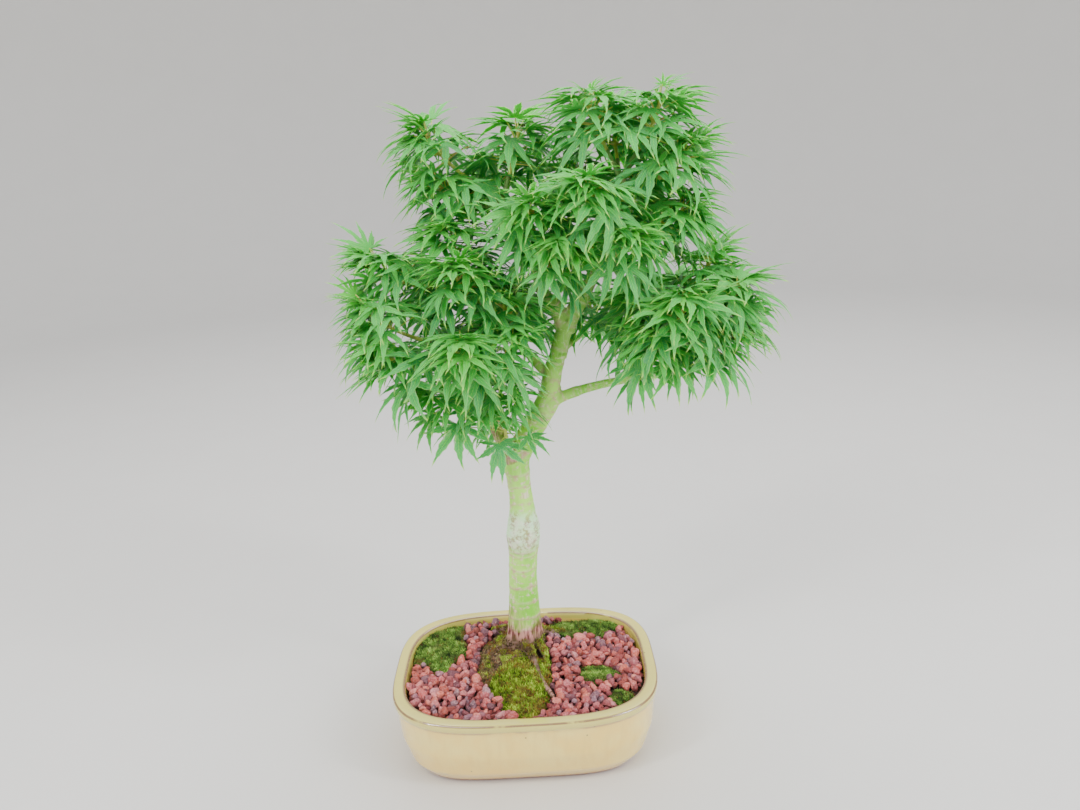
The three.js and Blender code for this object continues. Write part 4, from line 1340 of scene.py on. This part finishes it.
# Knots of the trunk: a point on its skin, and their size
KNOTS = [(35, 44, 380, 8), (-10, 40, 300, 7), (14, 40, 336, 5), (58, 44, 486, 5)]
# Heights on the trunk, with how far each reaches up and down
GRAFT = (237, 25)
GRAFT_EDGE = (212, 1.6)
GRAFT_SWELL = (236, 15)
WAIST = (290, 24)
# Heights where a mark starts, and where it is full
WOODY_FOOT = (138, 104)
SLIM_TOP = (396, 426)
YOUNG_TRUNK = (400, 490)
YOUNG_LIMBS = (330, 530)
EARTHY_ROOT = (100, 92)
WOODY_LIMB = ("leftBranch", 450, 390)
# In front of this y the front root is less and less earthy, and its end is pale
ROOT_END = -10
ROOT_END_EARTHY = (-66, -26)
ROOT_END_PALE = (-34, -54)


def read_points(mesh, what):
    """A vector of each point of a mesh."""
    numbers = np.empty(len(mesh.vertices) * 3)
    mesh.vertices.foreach_get(what, numbers)
    return numbers.reshape(-1, 3)


def grown_bark(points, normals, paths):
    """The wood's points raised by their scars and lumps, with the marks of the bark and how young it is."""
    stem, along = wood_marks(points, paths)
    trunk = stem == 0
    root = stem == ROOT
    rng = np.random.default_rng(5)
    wander = 3.2 * fbm(points, 26, 1.0, 2)
    scars = ring_scars(along + wander, stem, rng) * (stem >= 0)
    y = points[:, 1]
    z = points[:, 2]
    graft = hump(z + wander, *GRAFT, power=6) * trunk
    woody = np.where(root, 1.0, fade(z - 5 * wander, *WOODY_FOOT) * trunk)
    flutes = np.sin(17 * np.arctan2(y - TRUNK_Y, points[:, 0]) + 3 * np.sin(z / 19)) * woody * trunk
    lumps = fbm(points, 9, 4.0)
    for *middle, size in KNOTS:
        away = np.linalg.norm(points - middle, axis=1) / size
        scars = np.maximum(scars, np.clip(1.4 - away, 0, 1) * (0.6 + 0.8 * np.abs(fbm(points, 5, 8.0, 2))))
    scars = np.maximum(scars, 0.9 * hump(z + wander, *GRAFT_EDGE) * trunk)
    name, *heights = WOODY_LIMB
    woody = np.maximum(woody, 0.7 * (stem == 1 + list(LIMBS).index(name)) * fade(z, *heights))
    raised = 0.45 * scars + 0.5 * lumps * (0.5 + graft + woody) + 0.16 * flutes
    raised = raised * np.where(trunk, 1.0, 0.6)
    # The graft swells, and the stem over it is slimmer
    raised += trunk * (2.0 * hump(z, *GRAFT_SWELL) - hump(z, *WAIST) - 1.3 * fade(z, *SLIM_TOP))
    points = points + normals * raised[:, None]
    y = points[:, 1]
    young = 0.8 * fade(z, *YOUNG_LIMBS) * (stem > 0) + 0.8 * fade(z, *YOUNG_TRUNK) * trunk
    young = np.where(root, -fade(z, *EARTHY_ROOT), young)
    root_end = (y < ROOT_END) & root
    young = np.where(root_end, -fade(y, *ROOT_END_EARTHY), young)
    scars = np.where(root_end, fade(y, *ROOT_END_PALE), scars)
    return points, np.column_stack([scars, graft, woody, np.ones(len(points))]), young


def bare_twig(path):
    """The bare part of a twig. It thickens to a bud ring where the leafy part starts."""
    bare = 1 - STEM_SHARE

    def radius_at(u):
        return twig_radius(u) * (1 + 0.28 * math.exp(-((u - bare) * path.length / 1.6) ** 2))

    return tube(path, 0, bare, radius_at, 9, max(6, int(path.length * bare / 4)))


def make_tree(bark, paths):
    mesh = make_wood_body(paths)
    points, tints, young = grown_bark(read_points(mesh, "co") / MM, read_points(mesh, "normal"), paths)
    heap = Heap()
    heap.add(points, [tuple(face.vertices) for face in mesh.polygons], tints, young)
    for path in paths["twigs"].values():
        heap.add(*bare_twig(path), (0.12, 0, 0, 1), 1.0)
    return show("maple_tree", heap.mesh("tree", "young"), "bark", ["tree"], bark)


# Leaves

class Blade:
    """The pattern that every blade is cut from. For each point: its angle and reach from the base, which
    side of the blade it is on, how far out and aside it is, its way across the lobe, and its lobes."""

    def __init__(self):
        self.rows = []
        self.faces = []
        self.spread()
        table = np.array(self.rows, float)
        angle, self.reach, self.lift, self.out, self.aside, self.width = table[:, :6].T
        self.angle = np.radians(angle)
        self.lobes = table[:, 6:].astype(int)

    def point(self, angle, reach, lift, out, aside, lobes, width=0.0):
        self.rows.append((angle, reach, lift, out, aside, width, *lobes))
        return len(self.rows) - 1

    def spread(self):
        base = self.point(0, 0, 0, 0, 0.5, (3, 3))
        last = len(LOBES) - 1
        cuts = [(-REAR_ANGLE, REAR_REACH, (0, 0))]
        for i in range(last):
            (right, short), (left, long) = LOBES[i:i + 2]
            cuts.append(((right + left) / 2, NOTCH_SHARE * (short + long) / 2, (i, i + 1)))
        cuts.append((REAR_ANGLE, REAR_REACH, (last, last)))
        lines = [self.cut_line(base, *cut) for cut in cuts]
        for i in range(last + 1):
            self.lobe(i, base, lines[i], lines[i + 1])

    def cut_line(self, base, angle, far, lobes):
        """Points from the base to a cut between lobes: a row on the upper face and one on the lower. They
        meet at the cut and all along the blade's rear edge."""
        rows = ([base], [base])
        for k in range(1, FUSED + 1):
            share = k / FUSED
            if k == FUSED or abs(angle) == REAR_ANGLE:
                spots = [self.point(angle, far * share, 0, CUT_OUT * share, 1.0, lobes)] * 2
            else:
                spots = [self.point(angle, far * share, lift, CUT_OUT * share, CUT_ASIDE, lobes)
                         for lift in (0.5, -0.5)]
            for row, spot in zip(rows, spots):
                row.append(spot)
        return rows

    def lobe(self, i, base, right, left):
        angle, length = LOBES[i]
        free = FREE[i]
        start = NOTCH_SHARE * length
        length *= TAIL_SHARE
        gap = (LOBES[1][0] - LOBES[0][0]) / 2
        half = start * math.sin(math.radians(gap)) * 0.98
        shares, widths = zip(*LOBE_WIDTH)
        rib_up = [base]
        rib_low = [base]
        edges = {-1: list(right[0]), 1: list(left[0])}
        edges_low = {-1: list(right[1]), 1: list(left[1])}
        steps = FUSED + free
        for k in range(1, steps):
            share = (max(k - FUSED, 0) / free) ** 0.86
            reach = start * min(k / FUSED, 1) + (length - start) * share
            out = reach / length
            rib_up.append(self.point(angle, reach, 1, out, 0.0, (i, i)))
            rib_low.append(self.point(angle, reach, -1, out, 0.0, (i, i)))
            if k > FUSED:
                broad, added, ahead = TOOTH if (k - FUSED) % 2 == 1 else DENT
                width = half * np.interp(share, shares, widths) * broad + added
                for side in (-1, 1):
                    spot = self.point(angle, reach + ahead, 0, out, 1.0, (i, i), side * width)
                    edges[side].append(spot)
                    edges_low[side].append(spot)
        tip = self.point(angle, length, 0, 1.0, 0.0, (i, i))
        for rows in (rib_up, rib_low, *edges.values(), *edges_low.values()):
            rows.append(tip)
        halves = [(rib_up, edges[-1], True), (rib_low, edges_low[-1], False),
                  (rib_up, edges[1], False), (rib_low, edges_low[1], True)]
        for k in range(steps):
            for rib, edge, flip in halves:
                quad = tuple(dict.fromkeys((rib[k], rib[k + 1], edge[k + 1], edge[k])))
                self.faces.append(quad[::-1] if flip else quad)


def bent_blade(blade, rng, size, curl, broad):
    """The points of one blade in its own axes: along the middle lobe, across, and up from its face."""
    stretch = rng.uniform(*LOBE_STRETCH, len(LOBES))
    stray = np.radians(rng.uniform(-LOBE_STRAY, LOBE_STRAY, len(LOBES)))
    fold = rng.uniform(*RIB_FOLD)
    cup = rng.uniform(*CUPPING)
    sweep = np.radians(rng.uniform(-LOBE_SWEEP, LOBE_SWEEP, len(LOBES)))
    a, b = blade.lobes.T
    reach = blade.reach * size * (stretch[a] + stretch[b]) / 2
    angle = blade.angle + (stray[a] + stray[b]) / 2 + (sweep[a] + sweep[b]) / 2 * blade.out ** 2
    # Each lobe bends down more and more towards its tip
    table = np.linspace(0, LONGEST_REACH, LONGEST_REACH + 1)
    curled = np.clip(table - CURL_STARTS * size, 0, None) ** CURL_POWER
    slope = np.arctan(2 * BLADE_DROOP * table) + curl * curled * CURL_RATE
    level = np.concatenate([[0], np.cumsum(np.cos(slope[:-1]))])
    fallen = np.concatenate([[0], np.cumsum(np.sin(slope[:-1]))])
    width = blade.width * size * broad * rng.uniform(*LOBE_BREADTH)
    flat = np.interp(reach, table, level)
    drop = np.interp(reach, table, fallen)
    slant = np.interp(reach, table, slope)
    up = -drop + fold * np.abs(width) - cup * CUP_HEIGHT * blade.aside * (blade.out < CUP_WITHIN)
    rib = blade.lift * RIB_THICKNESS * (1 - 0.6 * blade.out)
    up += rib * np.cos(slant)
    flat = flat + rib * np.sin(slant)
    x = flat * np.cos(angle) - width * np.sin(angle)
    y = flat * np.sin(angle) + width * np.cos(angle)
    return np.column_stack([x, y, up])


# The middle of each leafy mass: most leaves of its twigs turn outwards from there
MASS_MIDDLES = {"crown_left": (20, 84, 650), "crown": (116, 54, 640), "left": (-52, 62, 490),
                "right": (182, 50, 500), "middle": (80, 60, 480), "trunk": (10, 40, 390)}
# How strongly they turn, how many degrees lower they point for each millimetre below that middle, between
# which bounds, and how steeply they point down at most
OUTWARD_TURN = 1.15
FALL_BY_HEIGHT = 0.25
FALL_BOUNDS = (-14, 20)
STEEPEST_FALL = math.radians(52)
# Twigs about this near to the middle turn half as much
NEAR_MIDDLE = 15
# How much one leaf's turn differs from another's, as a share, and its fall and roll in degrees
TURN_VARIES = (0.5, 1.3)
FALL_VARIES = (-14, 14)
YOUNG_LIFT = (0, 30)
ROLL_VARIES = (-24, 24)
SIZE_VARIES = (0.86, 1.12)


def outward_turn(name):
    """Which way the leaves of a twig turn from the middle of their mass, and how much lower they point."""
    family = next(key for key in MASS_MIDDLES if name.startswith(key))
    away = np.array(SPRAYS[name][2], float) - MASS_MIDDLES[family]
    fall = math.radians(np.clip(-FALL_BY_HEIGHT * away[2], *FALL_BOUNDS))
    away[2] = 0
    return OUTWARD_TURN * away / (np.linalg.norm(away) + NEAR_MIDDLE), fall


def leaf_places(path, seed, count, outward, steady):
    """Where the leaves of one twig stand, by the same draws as in the frame. Every other leaf, and every
    one where they aren't steady, turns outwards from the middle of its mass."""
    draws = Draws(seed)
    habit = np.random.default_rng(seed)
    bearing = min(STEM_BEARING / path.length, 0.9 * STEM_SHARE)
    axis = path.tangent(1)
    first = unit(np.cross(steady_side(axis), axis))
    second = np.cross(axis, first)
    start = draws.between(0, 360)
    places = []
    for k in range(count):
        age = k / max(count - 1, 1)
        around = math.radians(start + LEAF_TURN * k + draws.between(*TURN_STRAY))
        lean = math.radians(draws.at_age(LEAF_LEAN, age))
        stalk = draws.at_age(LEAF_STALK, age)
        fall = math.radians(draws.at_age(LEAF_FALL, age))
        roll = math.radians(draws.at_age(LEAF_ROLL, age))
        size = draws.at_age(LEAF_SIZE, age)
        u = 1 - age * bearing
        reach = unit(axis * math.cos(lean) + first * math.sin(lean) * math.cos(around)
                     + second * math.sin(lean) * math.sin(around) + STALK_LIFT * UP)
        heading = unit(np.array([reach[0], reach[1], 0.0]))
        if not steady or k % 2 == 0:
            heading = unit(heading + outward[0] * habit.uniform(*TURN_VARIES))
            stray = habit.uniform(*FALL_VARIES) - habit.uniform(*YOUNG_LIFT) * (1 - age) ** 2
            fall = min(fall + outward[1] + math.radians(stray), STEEPEST_FALL)
            roll += math.radians(habit.uniform(*ROLL_VARIES))
            size *= habit.uniform(*SIZE_VARIES)
            stalk *= habit.uniform(0.8, 1.45 - 0.4 * age)
        along = heading * math.cos(fall) - UP * math.sin(fall)
        across = unit(np.cross(UP, along))
        face = np.cross(along, across)
        across = across * math.cos(roll) + face * math.sin(roll)
        node = path.point(u) + reach * 0.4 * twig_radius(u)
        places.append({"node": node, "base": node + reach * stalk, "along": along, "across": across,
                       "face": np.cross(along, across), "size": size, "age": age})
    return places


# Finishes of a leafy twig: 0 for the blades, and this one for stalks and stem
STALK = 1
STALK_ARCH = (0.5, 2.5)


def stalk_radius(u):
    return 0.78 - 0.2 * u + 0.45 * math.exp(-u * 14)


def add_stalk(heap, place, rng):
    """A thin stalk that arches from the twig to the blade."""
    node, base = place["node"], place["base"]
    middle = (node + base) / 2 + UP * rng.uniform(*STALK_ARCH)
    end = base - place["along"] * 1.2
    handles = [node - unit(base - node) * 0.6, middle, (middle + end) / 2, base + place["along"] * 0.6]
    points, faces = tube(Bend(handles), 0, 1, stalk_radius, 5, 5)
    heap.add(points, faces, (rng.uniform(0, 0.8), 0, 0, 1), 0, STALK)


# Leaves added on a twig, as a share of its places, and the twigs with fewer, shorter or broader leaves
EXTRA_SEED = 900
EXTRA_LEAVES = 0.9
FEWER_EXTRAS = {"trunk_tuft": 5, "left_under": 0, "left_inner_low": 3, "left_bottom": 5}
SHORTER_LEAVES = {"trunk_tuft": 0.72, "left_under": 0.84, "left_inner_low": 0.9, "left_bottom": 0.86}
BROADER_LEAVES = {"trunk_tuft": 1.4}
# The added leaves of the trunk's tuft hang a little to the left of it and in front
EXTRAS_MOVED = {"trunk_tuft": (-23, -8, 4)}
# How much a leaf's place on the twig tells of its age, and how much its age varies
AGE_BY_PLACE = 0.75
AGE_VARIES = (-0.1, 0.35)
# How far out the tips may reach, and how far inside of that the blades start
REACH = (np.array(CAD_BOX[0]) / MM - (11, 9, 0), np.array(CAD_BOX[1]) / MM + (11, 9, 15))
REACH_ROOM = 10


def held_in(points, base):
    """A leaf drawn in towards its base until its tips lie within reach."""
    ahead = np.maximum((points - base).max(axis=0), 1)
    behind = np.maximum((base - points).max(axis=0), 1)
    shares = np.concatenate([(REACH[1] - base) / ahead, (base - REACH[0]) / behind])
    return base + (points - base) * min(1, shares.min())


def leafy_stem(path):
    """The leafy part of a twig, with a ring at each node."""
    def radius_at(u):
        ring = max(0, math.sin((1 - u) * path.length * 0.9)) ** 8
        return twig_radius(u) * (0.94 + 0.16 * ring)

    return tube(path, 1 - STEM_SHARE - 1.2 / path.length, 1, radius_at, 8, 16)


def make_spray(name, number, blade, path, finishes):
    """A leafy twig: its stem, leaves on all the places drawn as for the frame, and leaves added between."""
    heap = Heap()
    rng = np.random.default_rng(BLADE_SEED + number)
    heap.add(*leafy_stem(path), (0.45, 0, 0, 1), 0, STALK)
    count = FEWER_LEAVES.get(name, LEAVES_ON_SPRAY)
    outward = outward_turn(name)
    places = leaf_places(path, LEAF_SEED + number, count, outward, True)
    added = FEWER_EXTRAS.get(name, int(EXTRA_LEAVES * count))
    extras = leaf_places(path, EXTRA_SEED + number, added, outward, False)
    for place in extras:
        place["base"] = place["base"] + EXTRAS_MOVED.get(name, (0, 0, 0))
    for place in places + extras:
        base = np.clip(place["base"], REACH[0] + REACH_ROOM, REACH[1] - REACH_ROOM)
        place["base"] = base
        size = place["size"] * SHORTER_LEAVES.get(name, 1)
        local = bent_blade(blade, rng, size, rng.uniform(*CURL), BROADER_LEAVES.get(name, 1))
        world = held_in(base + local @ np.array([place["along"], place["across"], place["face"]]), base)
        age = np.clip(place["age"] * AGE_BY_PLACE + rng.uniform(*AGE_VARIES), 0, 1)
        tints = np.column_stack([blade.out, blade.aside, np.full(len(local), age), np.ones(len(local))])
        heap.add(world, blade.faces, tints, 0.5 + 0.5 * blade.lift)
        add_stalk(heap, place, rng)
    piece = "maple_" + name
    show(piece, heap.mesh(piece), "leaf", ["leaves_" + name], *finishes, sharp=70)


# Studio

# The floor in metres: radius of its flat part, radius of its bend, and height of its edge
FLOOR = (3.2, 1.5, 3.4)
FLOOR_SIDES = 72


def make_floor():
    """A pale floor that sweeps up all round, so that no edge shows behind the tree."""
    flat, bend, high = FLOOR
    profile = [(0.4, 0), (1.6, 0), (flat, 0)]
    for turn in np.radians(np.arange(6, 91, 6)):
        profile.append((flat + bend * math.sin(turn), bend * (1 - math.cos(turn))))
    profile.append((flat + bend, high))
    points = [(r * math.cos(t), r * math.sin(t), z) for r, z in profile for t in circle(FLOOR_SIDES)]
    faces = [face[::-1] for face in ring_faces(len(profile), FLOOR_SIDES, capped=False)]
    faces.append(tuple(range(FLOOR_SIDES)))
    mesh = bpy.data.meshes.new("floor")
    mesh.from_pydata(points, [], faces)
    mesh.shade_smooth()
    finish = Finish("pale floor")
    color = finish.blend(finish.cloud(120, 2), (210, 208, 204), (214, 212, 208))
    mesh.materials.append(finish.done(base_color=color, roughness=0.75))
    floor = put("floor", mesh)


# Lights: place, the point they shine at, width and height, watts and colour
LIGHTS = {
    "key": ((-1.3, -1.5, 2.3), (0.05, 0.05, 0.35), (1.9, 1.5), 36, (1, 0.985, 0.955)),
    "fill": ((1.9, -1.1, 1.5), (0.05, 0.05, 0.35), (1.6, 1.6), 38, (0.95, 0.98, 1)),
    "top": ((0.2, 0.9, 2.4), (0.05, 0.05, 0.4), (1.8, 1.4), 34, (1, 1, 1)),
    # Two upright strips give the glaze its glints
    "strip left": ((-1.55, -1.2, 1.9), (0, -0.1, 0.09), (0.12, 1.2), 22, (1, 1, 1)),
    "strip right": ((1.75, -0.95, 1.85), (0, -0.1, 0.09), (0.12, 1.2), 20, (1, 1, 1)),
}
WORLD_STRENGTH = 1.47


def make_light():
    for name, (place, target, size, power, color) in LIGHTS.items():
        lamp = bpy.data.lights.new(name, "AREA")
        lamp.shape = "RECTANGLE"
        lamp.size, lamp.size_y = size
        lamp.energy = power
        lamp.color = color
        light = put(name, lamp)
        light.location = place
        light.rotation_euler = (Vector(target) - Vector(place)).to_track_quat("-Z", "Y").to_euler()
    world = bpy.data.worlds.new("studio")
    world.use_nodes = True
    background = world.node_tree.nodes["Background"]
    background.inputs["Color"].default_value = paint(228, 230, 234)
    background.inputs["Strength"].default_value = WORLD_STRENGTH
    bpy.context.scene.world = world


# The photograph's camera: it looks along +Y, tipped down and rolled a little
CAMERA_PLACE = (34.2, -901, 679)
CAMERA_DIP = 16.85
CAMERA_ROLL = -3.08
CAMERA_LENS = 28.86


def make_camera():
    data = bpy.data.cameras.new("camera")
    data.lens = CAMERA_LENS
    data.sensor_width = 36
    data.clip_start = 0.01
    camera = put("camera", data)
    tip = Matrix.Rotation(math.radians(90 - CAMERA_DIP), 4, "X")
    roll = Matrix.Rotation(math.radians(CAMERA_ROLL), 4, "Z")
    camera.matrix_world = Matrix.Translation(Vector(CAMERA_PLACE) * MM) @ tip @ roll
    bpy.context.scene.camera = camera


# Greens of the mosses: deep, middle, bright and old
MOSSES = {
    "dark": ((32, 46, 18), (106, 148, 54), (200, 232, 116), (92, 98, 52)),
    "golden": ((56, 58, 20), (138, 178, 40), (236, 250, 104), (142, 118, 52)),
    "olive": ((48, 38, 24), (116, 104, 56), (180, 176, 100), (98, 74, 50)),
}
# Moss cushions: moss, shoots on a square millimetre, how tall they are, share of rusty ones, and half width
CUSHIONS = {
    "moss_left": ("dark", 0.9, (1.2, 3.2), 0.08, SHOOT_WIDTH),
    "moss_middle": ("golden", 0.62, (1.8, 5), 0.3, (0.45, 1.1)),
    "moss_back": ("dark", 0.9, (1.2, 3.2), 0.05, SHOOT_WIDTH),
    "moss_right": ("dark", 1.0, (1.2, 3.2), 0.06, SHOOT_WIDTH),
    "moss_front": ("dark", 1.0, (1.2, 3.2), 0.06, SHOOT_WIDTH),
}


def main():
    paths = {name: limb_path(name) for name in LIMBS}
    paths["trunk"] = Route([(x, TRUNK_Y, z, radius) for z, x, radius in TRUNK])
    paths["roots"] = root_paths()
    paths["twigs"] = {name: twig_path(name) for name in SPRAYS}
    distance = wood_distance(paths["roots"])
    make_pot(cream_glaze())
    make_screens(mesh_plastic())
    make_soil(damp_soil())
    make_gravel(lava_stone(), distance)
    mosses = {}
    for name, shades in MOSSES.items():
        mosses[name] = moss_green(name + " moss", *shades)
    for name, (moss, *habit) in CUSHIONS.items():
        make_moss(name, mosses[moss], distance, *habit)
    tree = make_tree(maple_bark(), paths)
    make_litter((forest_litter(), mosses["olive"], mosses["golden"]), distance, tree.data)
    blade = Blade()
    finishes = (leaf_green(), green_stalk())
    for number, (name, path) in enumerate(paths["twigs"].items()):
        make_spray(name, number, blade, path, finishes)
    make_floor()
    make_light()
    make_camera()


main()
